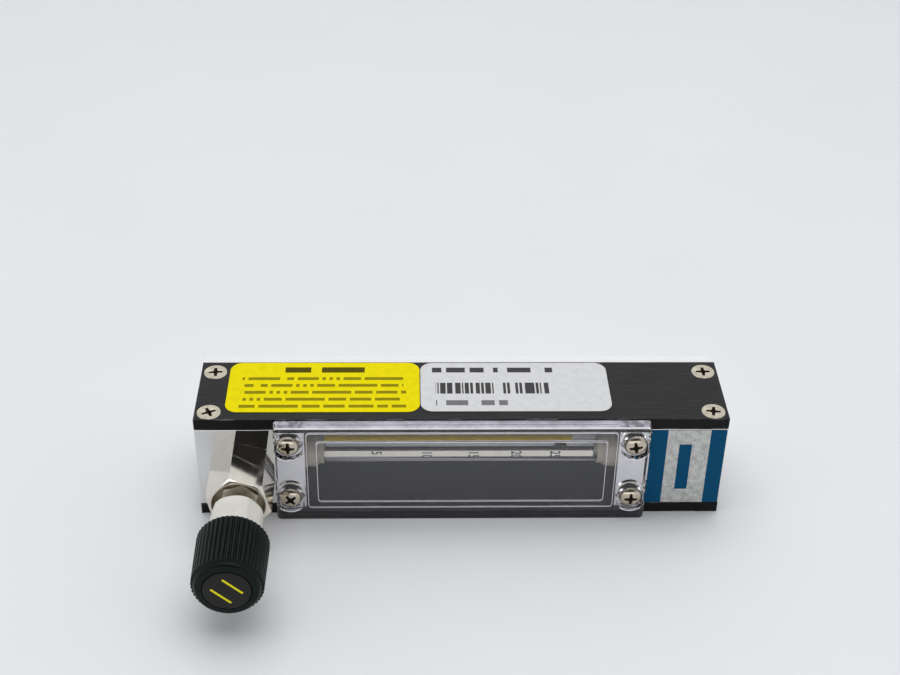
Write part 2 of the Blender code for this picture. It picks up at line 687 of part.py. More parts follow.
def valve_bonnet(on):
    """The hexagon body that screws into the block. Its front recess is round, with a chamfered rim."""
    profile = [
        (RECESS_IN, RECESS_R), (RECESS_IN, GLAND_R), (GLAND_IN, GLAND_R), (GLAND_IN, SPINDLE_BORE_R),
        (GUIDE_OUT, SPINDLE_BORE_R), (GUIDE_OUT, GUIDE_R + SEAM),
        (SHANK_IN, GUIDE_R + SEAM), (SHANK_IN, SHANK_R), *grooved(SHANK_R, BONNET_RING),
        (SEAM, SHANK_R), (SEAM, HEX_ACROSS, HEX_ACROSS),
        (BONNET_OUT - RIM_CHAMFER, HEX_ACROSS, HEX_ACROSS),
        (BONNET_OUT - RIM_CHAMFER / 2, RIM_CHAMFER_MIDDLE_R, HEX_ACROSS),
        (BONNET_OUT, RIM_R), (BONNET_OUT, RECESS_R),
    ]
    place("valve_bonnet", turned("valve_bonnet", profile, FINE, BONNET_TURN), "nickel", on["valve"])
    sealing_ring("bonnet_ring", SHANK_R, BONNET_RING, on["valve"])


def gland(on):
    """Packing round the spindle, the nut that presses it, and the guide that stops the needle turning."""
    packing_out = GLAND_IN + SEAM + PACKING_THICK
    hole = SPINDLE_R + RUNNING
    bush("stem_packing", "cream_ptfe", GLAND_IN + SEAM, packing_out, hole, GLAND_R - SEAM, on["valve"])
    low, head = packing_out + SEAM, RECESS_IN + SEAM
    profile = [
        (low, hole), (low, GLAND_R - SEAM), (head, GLAND_R - SEAM),
        (head, GLAND_NUT_ACROSS, GLAND_NUT_ACROSS), (GLAND_NUT_OUT, GLAND_NUT_ACROSS, GLAND_NUT_ACROSS),
        (GLAND_NUT_OUT, hole),
    ]
    place("gland_nut", turned("gland_nut", profile), "nickel", on["valve"])
    hexagon = NEEDLE_ACROSS + 2 * RUNNING
    low, high = SHANK_IN + SEAM, GUIDE_OUT - SEAM
    profile = [(low, GUIDE_R, hexagon), (low, GUIDE_R), (high, GUIDE_R), (high, GUIDE_R, hexagon)]
    place("needle_guide", turned("needle_guide", profile), "brass", on["valve"])


def needle(on):
    """The tapered needle. Its hexagon slides in the guide, and its button swivels in the spindle's nose."""
    profile = [
        (NEEDLE_TIP, 0), (NEEDLE_TIP, NEEDLE_TIP_R), (NEEDLE_TAPER, NEEDLE_R), (NEEDLE_HEX_IN, NEEDLE_R),
        (NEEDLE_HEX_IN, NEEDLE_ACROSS, NEEDLE_ACROSS), (NEEDLE_HEX_OUT, NEEDLE_ACROSS, NEEDLE_ACROSS),
        (NEEDLE_HEX_OUT, NECK_R), (NECK_OUT, NECK_R),
        (NECK_OUT, BUTTON_R), (BUTTON_OUT, BUTTON_R), (BUTTON_OUT, 0),
    ]
    place("needle", turned("needle", profile), "stainless", on["valve"])


def spindle(on):
    """The threaded spindle that the knob turns. It carries the needle in a socket with a turned-in lip."""
    chamfer = SEAM * 2
    profile = [
        (BUTTON_OUT + SEAM, 0), (BUTTON_OUT + SEAM, BUTTON_R + SEAM), (NECK_OUT - SEAM, BUTTON_R + SEAM),
        (NECK_OUT - SEAM, NECK_R + SEAM), (SPINDLE_NOSE, NECK_R + SEAM),
        (SPINDLE_NOSE, SPINDLE_THREAD_R - chamfer), (SPINDLE_NOSE + chamfer, SPINDLE_THREAD_R),
        (SPINDLE_THREAD_OUT, SPINDLE_THREAD_R), (SPINDLE_THREAD_OUT, SPINDLE_R),
        (SPINDLE_OUT, SPINDLE_R), (SPINDLE_OUT, 0),
    ]
    place("spindle", turned("spindle", profile), "stainless", on["valve"])


def collar(on):
    """The white hexagon collar behind the knob, with its corners turned off."""
    hole = SPINDLE_R + SEAM
    small = COLLAR_CORNER_R - COLLAR_EDGE
    profile = [
        (COLLAR_IN, hole), (COLLAR_IN, small, COLLAR_ACROSS),
        (COLLAR_IN + COLLAR_EDGE, COLLAR_CORNER_R, COLLAR_ACROSS),
        (COLLAR_OUT, COLLAR_CORNER_R, COLLAR_ACROSS), (COLLAR_OUT, hole),
    ]
    place("knob_collar", turned("knob_collar", profile, FINE, COLLAR_TURN), "white_acetal", on["valve"])


def ribbed_ring(along, radius):
    """One ring of the knob's grip: a flat-topped rib and a groove, repeated."""
    points = []
    for i in range(RIBS):
        for share, drop in RIB_SHAPE:
            a = (i + share) * math.tau / RIBS
            points.append(((radius - drop) * math.cos(a), (radius - drop) * math.sin(a), along))
    return points


def knob(on):
    """The ribbed knob. It narrows a little to the front and ends in a smooth chamfer round the cap."""
    back, out = KNOB_ROUND
    smooth = [
        (KNOB_RIBS_OUT, KNOB_RIBS_OUT_R - RIB_HEIGHT), (KNOB_OUT - back, KNOB_FACE_R + out),
        (KNOB_OUT, KNOB_FACE_R),
    ]
    rings = [ribbed_ring(KNOB_IN, KNOB_IN_R), ribbed_ring(KNOB_RIBS_OUT, KNOB_RIBS_OUT_R)]
    rings += [ring(along, radius, len(RIB_SHAPE) * RIBS) for along, radius in smooth]
    body = place("knob", lofted("knob", rings), "black_knob", on["valve"])
    floor = COLLAR_OUT + 2 * SEAM
    low, high = KNOB_IN - SEAM, KNOB_OUT + SEAM
    hollow = [
        (low, 0), (low, KNOB_SOCKET_R), (floor, KNOB_SOCKET_R), (floor, KNOB_BORE_R),
        (KNOB_WEB_OUT, KNOB_BORE_R), (KNOB_WEB_OUT, CAP_POCKET_R), (high, CAP_POCKET_R), (high, 0),
    ]
    cut(body, turned("knob_hollow", hollow), on["valve"])


def collet(on):
    """The collet that grips the spindle and the nut that draws it up, both under the knob's cap."""
    hole = SPINDLE_R + RUNNING
    profile = [
        (COLLET_IN, hole), (COLLET_IN, COLLET_R), (KNOB_WEB_OUT, COLLET_R), (KNOB_WEB_OUT, COLLET_THREAD_R),
        (COLLET_OUT, COLLET_THREAD_R), (COLLET_OUT, hole),
    ]
    place("knob_collet", turned("knob_collet", profile), "brass", on["valve"])
    low = KNOB_WEB_OUT + SEAM
    thread = COLLET_THREAD_R + SEAM
    profile = [
        (low, thread), (low, COLLET_NUT_ACROSS, COLLET_NUT_ACROSS),
        (COLLET_NUT_OUT, COLLET_NUT_ACROSS, COLLET_NUT_ACROSS), (COLLET_NUT_OUT, thread),
    ]
    place("collet_nut", turned("collet_nut", profile), "brass", on["valve"])


def knob_cap(on):
    """The press-in disc that covers the collet nut."""
    outer = CAP_POCKET_R - SEAM
    under = CAP_OUT - CAP_THICK
    profile = [
        (CAP_OUT, 0), (CAP_OUT, outer - CAP_EDGE), (CAP_OUT - CAP_EDGE, outer), (CAP_IN, outer),
        (CAP_IN, outer - CAP_WALL), (under, outer - CAP_WALL), (under, 0),
    ]
    place("knob_cap", turned("knob_cap", profile), "grey_cap", on["valve"])


# Ports


def fitting(name, turn, parent):
    """A pipe fitting: a hexagon with a female thread, and a shank through the back plate into a block."""
    hex_in = BACK_PLATE + SEAM
    floor = FITTING_OUT - PORT_DEPTH
    edge = HEX_ACROSS / 2 + SEAM
    profile = [
        (FITTING_IN, FITTING_BORE_R), (FITTING_IN, FITTING_SHANK_R), *grooved(FITTING_SHANK_R, FITTING_RING),
        (hex_in, FITTING_SHANK_R), (hex_in, HEX_ACROSS, HEX_ACROSS),
        (FITTING_OUT - RIM_CHAMFER, HEX_ACROSS, HEX_ACROSS), (FITTING_OUT, edge, HEX_ACROSS),
        (FITTING_OUT, PORT_R), (floor, PORT_R), (floor, FITTING_BORE_R),
    ]
    place(f"{name}_fitting", turned(f"{name}_fitting", profile, PLAIN, turn), "nickel", parent)
    sealing_ring(f"{name}_fitting_ring", FITTING_SHANK_R, FITTING_RING, parent)


# Labels


def label(name, parent, x, y, corner):
    """A thin label between two pairs of edges, just off the face that carries it."""
    middle = ((x[0] + x[1]) / 2, (y[0] + y[1]) / 2, 0)
    size = (x[1] - x[0], y[1] - y[0], corner)
    rings = [rounded_rectangle(h, *size) for h in (LABEL_GAP, LABEL_GAP + LABEL_THICK)]
    place(name, lofted(name, rings), name, parent, middle)


def labels(on):
    """Two labels on the upper plate, and one on the front of the outlet block."""
    label("yellow_label", on["upper"], YELLOW_X, YELLOW_Y, LABEL_CORNER)
    label("white_label", on["upper"], WHITE_X, WHITE_Y, LABEL_CORNER)
    label("blue_label", on["front"], BLUE_X, BLUE_Z, FOIL_CORNER)


def main():
    clear_scene()
    on = axes()
    for which in ("upper", "lower"):
        side_plate(which, on[which])
    inlet_block(on)
    outlet_block(on)
    back_plate(on)
    front_shield(on)
    screws(on)
    flow_tube(on)
    float_ball(on)
    tube_seats(on)
    tube_clamp(on)
    end_plug(on)
    valve_seat(on)
    valve_bonnet(on)
    gland(on)
    needle(on)
    spindle(on)
    collar(on)
    knob(on)
    collet(on)
    knob_cap(on)
    fitting("inlet", INLET_HEX_TURN, on["inlet"])
    fitting("outlet", OUTLET_HEX_TURN, on["outlet"])
    labels(on)
    bpy.context.view_layer.update()


main()
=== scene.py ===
# %% [markdown]
# # A pocket gas flowmeter, dressed for the camera
#
# The object is a small variable-area flowmeter. Gas comes in behind the left block, passes a fine
# needle valve, lifts a ball in a tapered glass tube and leaves behind the right block. It lies on one
# of its side plates, with the valve's knob pointing at us.
#
# The mechanical design is already settled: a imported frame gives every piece, its place and the body it
# moves with. This lesson keeps all of those sizes and only makes the surfaces that an eye would see:
# softened edges, cross recesses, ribs, printed scale, clear plastic, and metal that has been handled.
#
# First the frame is loaded. Everything later asks the frame where a piece is, so no size is guessed twice.

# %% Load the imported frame
import math

import bmesh
import bpy
from mathutils import Matrix, Vector


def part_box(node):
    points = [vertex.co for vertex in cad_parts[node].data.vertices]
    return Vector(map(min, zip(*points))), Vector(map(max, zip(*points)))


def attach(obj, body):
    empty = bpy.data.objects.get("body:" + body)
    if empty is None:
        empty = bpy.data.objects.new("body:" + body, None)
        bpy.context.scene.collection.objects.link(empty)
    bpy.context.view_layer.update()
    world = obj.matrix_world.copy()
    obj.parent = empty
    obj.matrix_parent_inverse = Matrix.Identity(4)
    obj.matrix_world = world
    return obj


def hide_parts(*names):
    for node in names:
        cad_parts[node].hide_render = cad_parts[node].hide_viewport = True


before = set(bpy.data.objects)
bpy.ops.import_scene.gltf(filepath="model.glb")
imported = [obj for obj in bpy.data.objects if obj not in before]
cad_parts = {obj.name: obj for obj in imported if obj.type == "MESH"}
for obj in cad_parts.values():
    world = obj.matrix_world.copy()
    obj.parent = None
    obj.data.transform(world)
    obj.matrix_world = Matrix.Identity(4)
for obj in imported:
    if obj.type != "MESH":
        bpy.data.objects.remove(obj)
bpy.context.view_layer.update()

# %% [markdown]
# ## The camera
#
# A small product is best seen from a little above, through a long lens, so that straight edges stay nearly
# parallel. A camera could be aimed with a tracking constraint. Here its axes are worked out from three
# angles instead, because that keeps the roll, the pan and the tilt as three plain numbers.

# %% Camera
MM = 0.001
CAMERA_AT = Vector((-12.94, -293.90, 247.78)) * MM
PAN, TILT, ROLL = 0.034, 0.606, 0.019
LENS = 61.0
SENSOR = 36.0


def camera_matrix(place, pan, tilt, roll):
    """A camera looks along its own -Z, so the third column is the view direction, turned round."""
    ahead = Vector((math.sin(pan) * math.cos(tilt), math.cos(pan) * math.cos(tilt), -math.sin(tilt)))
    across = ahead.cross(Vector((0, 0, 1))).normalized()
    upward = across.cross(ahead)
    right = math.cos(roll) * across + math.sin(roll) * upward
    top = math.cos(roll) * upward - math.sin(roll) * across
    turn = Matrix((right, top, -ahead)).transposed()
    return Matrix.Translation(place) @ turn.to_4x4()


scene = bpy.context.scene
camera = bpy.data.objects.new("camera", bpy.data.cameras.new("camera"))
camera.matrix_world = camera_matrix(CAMERA_AT, PAN, TILT, ROLL)
camera.data.lens = LENS
camera.data.sensor_width = SENSOR
camera.data.clip_start = 0.01
camera.data.clip_end = 20.0
scene.collection.objects.link(camera)
scene.camera = camera
scene.view_settings.view_transform = "Standard"
print("camera", tuple(round(v, 3) for v in camera.location), "lens", LENS)

# %% [markdown]
# ## Shader maths that reads like maths
#
# A material is a graph of nodes, and wiring fifty Math nodes by hand hides the idea behind them. The
# small class below holds one socket. Adding, multiplying or comparing two of them adds the node that
# does it, so a formula in Python becomes a graph in Blender. The reflected forms are there too, so that
# `1 - mask` works.

# %% Value: one socket with Python's operators
class Value:
    """An output socket. Arithmetic on it adds Math nodes to the same finish."""

    def __init__(self, finish, socket):
        self.finish = finish
        self.socket = socket

    def other(self, name):
        """Another output of the same node."""
        return Value(self.finish, self.socket.node.outputs[name])

    def maths(self, operation, *terms):
        return self.finish.node("ShaderNodeMath", {"operation": operation}, dict(enumerate(terms)))

    def __add__(self, term):
        return self.maths("ADD", self, term)

    def __sub__(self, term):
        return self.maths("SUBTRACT", self, term)

    def __mul__(self, term):
        return self.maths("MULTIPLY", self, term)

    def __truediv__(self, term):
        return self.maths("DIVIDE", self, term)

    def __pow__(self, term):
        return self.maths("POWER", self, term)

    def __lt__(self, term):
        return self.maths("LESS_THAN", self, term)

    def __gt__(self, term):
        return self.maths("GREATER_THAN", self, term)

    def __radd__(self, term):
        return self.maths("ADD", term, self)

    def __rsub__(self, term):
        return self.maths("SUBTRACT", term, self)

    def __rmul__(self, term):
        return self.maths("MULTIPLY", term, self)

    def __abs__(self):
        return self.maths("ABSOLUTE", self)

    def floor(self):
        return self.maths("FLOOR", self)

    def least(self, term):
        return self.maths("MINIMUM", self, term)

    def most(self, term):
        return self.maths("MAXIMUM", self, term)

    def eased(self, low, high):
        """0 below low and 1 above high, or the other way round where low is the larger."""
        if low > high:
            return 1.0 - self.eased(high, low)
        limits = {"Value": self, "From Min": low, "From Max": high}
        return self.finish.node("ShaderNodeMapRange", {"interpolation_type": "SMOOTHSTEP"}, limits)


print("Value: arithmetic on sockets")

# %% [markdown]
# ## A finish
#
# A finish is one material. It has one method that adds a node of any type: settings first, because a
# setting such as a Mix node's data type decides which sockets exist, then the values or links of the
# sockets. Colours go through a Mix node, since a Math node would turn them grey. Lengths in a finish
# are in millimetres, which keeps its numbers close to what a ruler says.

# %% Finish: one material and the one method that adds a node
class Finish:
    """A material under construction."""

    def __init__(self, name, slot):
        self.slot = slot
        self.material = bpy.data.materials.new(name)
        self.material.use_nodes = True
        self.tree = self.material.node_tree
        self.tree.nodes.clear()
        coordinates = self.node("ShaderNodeTexCoord").other("Object")
        to_mm = {0: coordinates, "Scale": 1 / MM}
        self.place = self.node("ShaderNodeVectorMath", {"operation": "SCALE"}, to_mm)
        self.x = self.node("ShaderNodeSeparateXYZ", {}, {0: self.place})
        self.y, self.z = self.x.other("Y"), self.x.other("Z")

    def node(self, kind, settings=None, sockets=None, output=0):
        """Adds a node, gives it its settings and then its sockets' values or links."""
        made = self.tree.nodes.new(kind)
        for name, value in (settings or {}).items():
            setattr(made, name, value)
        for name, value in (sockets or {}).items():
            self.feed(made.inputs[name], value)
        return Value(self, made.outputs[output]) if made.outputs else made

    def feed(self, socket, value):
        if isinstance(value, Value):
            self.tree.links.new(value.socket, socket)
        elif socket.type == "RGBA":
            socket.default_value = (*value[:3], 1.0)
        else:
            socket.default_value = value

    def stretched(self, x, y, z):
        """The place in millimetres, scaled separately on each axis."""
        return self.node("ShaderNodeVectorMath", {"operation": "MULTIPLY"}, {0: self.place, 1: (x, y, z)})

    def vector(self, x, y, z=0.0):
        return self.node("ShaderNodeCombineXYZ", {}, {0: x, 1: y, 2: z})

    def noise(self, size, detail=3.0, rough=0.5, at=None):
        """Soft noise round 0.5, with features of about the given size in millimetres."""
        sockets = {"Vector": at or self.place, "Scale": 1 / size, "Detail": detail, "Roughness": rough}
        return self.node("ShaderNodeTexNoise", {}, sockets)

    def mixed(self, low, high, share):
        """Colour low where share is 0 and colour high where it is 1."""
        return self.node("ShaderNodeMix", {"data_type": "RGBA"}, {0: share, 6: low, 7: high}, 2)

    def radius(self):
        """Distance from local Z, for a piece that was turned in a lathe."""
        return (self.x * self.x + self.y * self.y) ** 0.5

    def lathe_marks(self, size=0.08):
        """Fine rings, as a cutting tool leaves them: noise that changes only along and outward."""
        return self.noise(size, 2.0, 0.6, self.vector(self.radius(), self.z))

    def bump(self, height, depth, strength=1.0):
        """Depth is the height's full travel in millimetres."""
        sockets = {"Height": height, "Distance": depth * MM, "Strength": strength}
        return self.node("ShaderNodeBump", {}, sockets)

    def done(self, **sockets):
        """The shader itself. Names are the Principled sockets, with underscores for their spaces."""
        self.node("ShaderNodeOutputMaterial", {}, {"Surface": self.principled(sockets)})
        return self

    def principled(self, sockets):
        named = {name.replace("_", " "): value for name, value in sockets.items()}
        return self.node("ShaderNodeBsdfPrincipled", {}, named)

    def clear(self, **sockets):
        """The same, for something we look through. Rays that only ask for lamps go straight through it."""
        shader = self.principled({"Transmission_Weight": 1.0, **sockets})
        lamp_ray = self.node("ShaderNodeLightPath").other("Is Shadow Ray")
        open_side = self.node("ShaderNodeBsdfTransparent", {}, {"Color": (0.93, 0.93, 0.95)})
        through = self.node("ShaderNodeMixShader", {}, {0: lamp_ray, 1: shader, 2: open_side})
        self.node("ShaderNodeOutputMaterial", {}, {"Surface": through})
        return self


print("Finish: ready")

# %% [markdown]
# ## Where edges wear
#
# Anodised or painted plates lose their colour first along the edges. Pointiness could find the edges,
# but it needs a dense mesh. For a plate we know the box, so there is an exact way. At any point, take
# the three distances to the nearest pair of faces and sort them. The smallest is 0, since we are on a
# face, and the middle one is the distance to the nearest edge.

# %% Distance to a plate's nearest edge
def edge_distance(finish, node):
    """Millimetres from the nearest edge of a node's box, for a mesh whose origin is the frame's."""
    low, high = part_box(node)
    gaps = []
    for place, a, b in zip((finish.x, finish.y, finish.z), low, high):
        middle, half = (a + b) / 2 / MM, (b - a) / 2 / MM
        gaps.append(half - abs(place - middle))
    smaller, larger = gaps[0].least(gaps[1]), gaps[0].most(gaps[1])
    return smaller.most(larger.least(gaps[2]))


def facing(finish, axis):
    """How squarely the surface faces an axis, from the mesh's own normals: 1 on a face across it."""
    normal = finish.node("ShaderNodeTexCoord").other("Normal")
    return abs(finish.node("ShaderNodeSeparateXYZ", {}, {0: normal}, "XYZ".index(axis)))


print("edge tools ready")

# %% [markdown]
# ## Metal finishes
#
# The frame has five of them. The side plates are aluminium, blasted and then dyed black in an anodising
# bath. The two blocks are polished and chromed. Screws, hexagons and fittings are nickel on brass, which
# is warmer than chrome. Inside are plain brass and stainless steel.
#
# Each one gets three scales of detail: a broad cloudiness, marks from how it was made, and small wear.
# The marks mostly drive roughness, because on metal the eye reads a change of gloss before a change of
# colour.

# %% Black anodised plate
def black_anodised(node):
    made = Finish(f"black anodised {node}", "black_anodised")
    cloud = made.noise(9.0, 4.0)
    blast = made.noise(0.12, 2.0, 0.7)
    drawn = made.noise(0.3, 3.0, 0.6, made.stretched(0.04, 1.0, 1.0))
    edge = edge_distance(made, node)
    rubbed = made.noise(5.0, 3.0).eased(0.45, 0.62)
    worn = (edge + 0.25 * made.noise(1.4, 3.0)).eased(0.36, 0.14) * rubbed
    # Painted light and shade: faces flat on to Z get the lighter body colour and the sides the near-black
    # one, as the light falls on them; the blast flecks show only on those flat faces.
    flat_faces_lit = facing(made, "Z").eased(0.5, 0.9)
    body = made.mixed((0.0015, 0.0015, 0.0018), (0.0130, 0.0130, 0.0140), flat_faces_lit)
    flecked = made.mixed(body, (0.036, 0.036, 0.038), (blast * drawn).eased(0.24, 0.42) * flat_faces_lit)
    colour = made.mixed(flecked, (0.30, 0.30, 0.31), worn * 0.5)
    rough = 0.42 + 0.16 * cloud + 0.10 * blast - 0.12 * worn
    grain = made.bump(blast + 0.5 * drawn, 0.005)
    return made.done(Base_Color=colour, Roughness=rough, Specular_IOR_Level=0.2, Normal=grain)


plates = {node: black_anodised(node) for node in ("upper_side_plate", "lower_side_plate")}
print("anodised:", len(plates))

# %% Mirror chrome on the blocks
def mirror_chrome():
    made = Finish("mirror chrome", "mirror_chrome")
    wiped = made.noise(0.16, 3.0, 0.7, made.stretched(0.5, 0.5, 0.05))
    hazed = made.noise(7.0, 4.0, 0.6)
    scratched = wiped.eased(0.60, 0.72) * hazed.eased(0.42, 0.58)
    colour = made.mixed((0.70, 0.70, 0.70), (0.80, 0.80, 0.79), hazed)
    rough = 0.035 + 0.07 * hazed.eased(0.45, 0.75) + 0.16 * scratched
    waves = made.noise(11.0, 1.0) + 0.02 * wiped
    return made.done(Base_Color=colour, Metallic=1.0, Roughness=rough, Normal=made.bump(waves, 0.02))


# %% Nickel plate, brass and steel
def plated(name, slot, dark, light, gloss, marks_run="round", depth=0.0015, cloudy=1.0):
    """A plated or bare metal part. Its marks run round it, from a lathe, or along it, as on drawn bar. Depth
    is theirs in millimetres, and cloudy scales the dull patches."""
    made = Finish(name, slot)
    along = made.noise(0.25, 3.0, 0.6, made.stretched(1.0, 1.0, 0.06))
    marks = made.lathe_marks() if marks_run == "round" else along
    cloud = made.noise(2.4, 4.0, 0.6)
    spots = made.noise(0.5, 2.0).eased(0.66, 0.74)
    colour = made.mixed(made.mixed(dark, light, cloud.eased(0.35, 0.65)), dark, spots * 0.6)
    rough = gloss + 0.10 * marks + 0.12 * cloudy * cloud.eased(0.5, 0.8) + 0.2 * cloudy * spots
    return made.done(Base_Color=colour, Metallic=1.0, Roughness=rough, Normal=made.bump(marks, depth))


chrome = mirror_chrome()
nickel = plated("nickel on screws", "nickel", (0.52, 0.46, 0.37), (0.66, 0.60, 0.49), 0.18)
bar_nickel = plated(
    "nickel on hexagon bar", "nickel", (0.68, 0.642, 0.57), (0.73, 0.69, 0.612), 0.07, "along", 0.0004, 0.15
)
steel = plated("stainless steel", "stainless", (0.42, 0.41, 0.40), (0.60, 0.59, 0.57), 0.20)
satin = plated("nickel inside the bonnet", "nickel", (0.50, 0.44, 0.35), (0.62, 0.56, 0.46), 0.42)
inner_brass = plated("brass inside", "brass", (0.45, 0.29, 0.09), (0.66, 0.47, 0.18), 0.28, "along")
inner_steel = plated("steel inside", "stainless", (0.42, 0.41, 0.40), (0.58, 0.57, 0.56), 0.24, "along")


def recess_grime():
    """The bottom of a cross recess: painted shade, darker than the nickel, and oil and dust that never gets
    wiped out.
    """
    made = Finish("grime in a cross recess", "nickel")
    # Painted shade and grime: near-black to dark brown.
    crumbs = made.noise(0.2, 3.0, 0.6)
    colour = made.mixed((0.010, 0.007, 0.004), (0.075, 0.050, 0.025), crumbs.eased(0.45, 0.7))
    rough = 0.45 + 0.3 * crumbs
    return made.done(Base_Color=colour, Metallic=0.5, Roughness=rough, Normal=made.bump(crumbs, 0.02))


shade_and_grime = recess_grime()
print("metals:", chrome.material.name, nickel.material.name, bar_nickel.material.name, steel.material.name)

# %% [markdown]
# ## Clear pieces
#
# The front shield is cast acrylic and the tube is hard glass. Both are one solid each with a real inside
# and outside, so refraction gives much of their bright edge lines, and the shield's cut edges add a painted
# glow. Shadow rays are helped too: they go straight through, which stands for the light that real plastic
# would bend onto what lies behind.

# %% Shield and tube
ACRYLIC_IOR = 1.49
GLASS_IOR = 1.47


def shield_acrylic():
    made = Finish("clear acrylic shield", "clear_plastic")
    smear = made.noise(6.0, 3.0, 0.6, made.stretched(0.6, 1.0, 1.4))
    scuff = made.noise(0.10, 2.0, 0.7, made.stretched(0.15, 1.0, 1.0)).eased(0.68, 0.78)
    rough = 0.012 + 0.05 * smear.eased(0.55, 0.8) + 0.10 * scuff
    tint = made.mixed((0.955, 0.95, 0.985), (0.985, 0.985, 0.995), smear)
    return made.clear(Base_Color=tint, Roughness=rough, IOR=ACRYLIC_IOR, Normal=made.bump(smear, 0.01))


def tube_glass():
    made = Finish("hard glass tube", "tube_glass")
    drawn = made.noise(1.6, 2.0, 0.5, made.stretched(1.0, 1.0, 0.08))
    tint = made.mixed((0.93, 0.96, 0.95), (0.97, 0.985, 0.98), drawn)
    rough = 0.01 + 0.02 * drawn
    return made.clear(Base_Color=tint, Roughness=rough, IOR=GLASS_IOR, Normal=made.bump(drawn, 0.006))


def cut_acrylic(name, dark, light, see_through, painted_glow, shade=None):
    """Acrylic where a cutter has passed. Its marks scatter light, and the glow is painted light: an emission
    that stands in for the light that runs inside the sheet and comes out there."""
    made = Finish(name, "clear_plastic")
    marks = made.noise(0.09, 2.0, 0.6, made.stretched(0.1, 1.0, 1.0))
    cloud = made.noise(4.0, 4.0, 0.6)
    colour = made.mixed(dark, light, (0.5 * marks + 0.5 * cloud).eased(0.35, 0.65))
    # Painted shade: the shade mask darkens the colour here.
    if shade:
        colour = made.mixed(colour, (0.10, 0.095, 0.11), shade(made))
    # The emission is a painted glow in the cut's own colour.
    return made.clear(
        Base_Color=colour, Roughness=0.22 + 0.25 * marks, IOR=ACRYLIC_IOR, Transmission_Weight=see_through,
        Emission_Color=colour, Emission_Strength=painted_glow, Normal=made.bump(marks, 0.004),
    )


def steps_below(finish):
    """Painted shade: darker bands on the sawn edge where the pocket's steps and the ends' solid corners show
    through it.
    """
    line = (abs(finish.z - 1.65)).eased(0.22, 0.10) * (abs(finish.x) < 36.4)
    corner = abs(finish.x).eased(36.4, 38.2) * finish.noise(1.6, 3.0).eased(0.40, 0.56)
    return line.most(corner) * 0.75


shield_finish = shield_acrylic()
# The last number of each cut finish is its painted glow.
milled_line = cut_acrylic("milled edge of the shield", (0.66, 0.65, 0.69), (0.86, 0.85, 0.89), 0.15, 0.20)
sawn_edge = cut_acrylic(
    "sawn top edge of the shield", (0.36, 0.35, 0.41), (0.70, 0.68, 0.80), 0.4, 0.08, steps_below
)
glass = tube_glass()
print("clear:", shield_finish.material.name, glass.material.name)

# %% [markdown]
# ## Plastics, rubber and enamel
#
# Moulded and machined plastics differ more in their grain than in their colour. The knob has a fine
# moulded grain, the collar was turned from white acetal rod, the seats are waxy fluoropolymer, and the
# back plate is cast white sheet. One function covers them, with the grain's size and depth as arguments.

# %% A function for opaque plastics
def plastic(name, slot, dark, light, gloss, grain=0.15, depth=0.01, shine=0.4, turned_in_lathe=False):
    """Grain is its size and depth its height, both in millimetres. Shine is the specular level."""
    made = Finish(name, slot)
    fine = made.lathe_marks(grain) if turned_in_lathe else made.noise(grain, 2.0, 0.6)
    cloud = made.noise(3.5, 4.0, 0.6)
    dust = made.noise(0.35, 2.0).eased(0.70, 0.76)
    colour = made.mixed(made.mixed(dark, light, cloud.eased(0.3, 0.7)), light, dust * 0.5)
    rough = gloss + 0.10 * fine + 0.10 * cloud
    surface = made.bump(fine, depth)
    return made.done(Base_Color=colour, Roughness=rough, Specular_IOR_Level=shine, Normal=surface)


knob_black = plastic(
    "moulded black knob", "black_knob", (0.0010, 0.0042, 0.0033), (0.0028, 0.0075, 0.0060),
    0.27, 0.10, 0.006, 0.14,
)
collar_white = plastic(
    "white acetal collar", "white_acetal", (0.63, 0.615, 0.56), (0.69, 0.675, 0.62),
    0.36, 0.12, 0.003, 0.3, True,
)
seat_cream = plastic("cream fluoropolymer", "cream_ptfe", (0.34, 0.31, 0.25), (0.46, 0.42, 0.35), 0.42, 0.2)
sheet_white = plastic(
    "white sheet back plate", "white_acrylic", (0.80, 0.80, 0.81), (0.83, 0.83, 0.84), 0.26, 0.5, 0.0008
)
rubber = plastic("black rubber", "rubber", (0.010, 0.010, 0.010), (0.02, 0.02, 0.02), 0.62, 0.08, 0.02)
ball_black = plastic(
    "black glass ball", "float_glass", (0.030, 0.030, 0.032), (0.05, 0.05, 0.052), 0.03, 0.4, 0.0005, 1.0
)
cream_enamel = plastic(
    "cream enamel stripe", "cream_ptfe", (0.84, 0.80, 0.68), (0.90, 0.87, 0.77), 0.26, 0.2, 0.003
)
amber_enamel = plastic(
    "amber enamel stripe", "brass", (0.86, 0.58, 0.01), (0.95, 0.70, 0.02), 0.30, 0.2, 0.003, 0.1
)
numeral_black = plastic(
    "black scale numerals", "rubber", (0.02, 0.02, 0.02), (0.04, 0.04, 0.04), 0.35, 0.2, 0.002
)
print("plastics: knob, collar, seats, back plate, rubber, ball, enamels")

# %% [markdown]
# ## Printed labels
#
# Three vinyl labels are stuck on. A real one carries words, but none belongs on a reusable part, so the
# print becomes plain bars that only keep the rhythm of a printed label. The bars could be meshes. They
# are a pattern in the colour instead, because ink has no thickness.
#
# A row of bars needs two things: a mask for the row itself, and a mask that breaks it at uneven places.
# The break comes from noise that is sampled once for each step along the row.

# %% Bars for a printed label
def rectangle(finish, x, y):
    """1 inside a rectangle in local X and Y, in millimetres."""
    wide = abs(finish.x - (x[0] + x[1]) / 2) < (x[1] - x[0]) / 2
    tall = abs(finish.y - (y[0] + y[1]) / 2) < (y[1] - y[0]) / 2
    return wide * tall


def broken_row(finish, x, y, step, kept, seed):
    """A row of ink from x[0] to x[1], broken into pieces of uneven length."""
    cell = (finish.x / step + seed * 7.3).floor()
    chance = finish.node("ShaderNodeTexWhiteNoise", {"noise_dimensions": "1D"}, {"W": cell})
    return rectangle(finish, x, y) * (chance < kept)


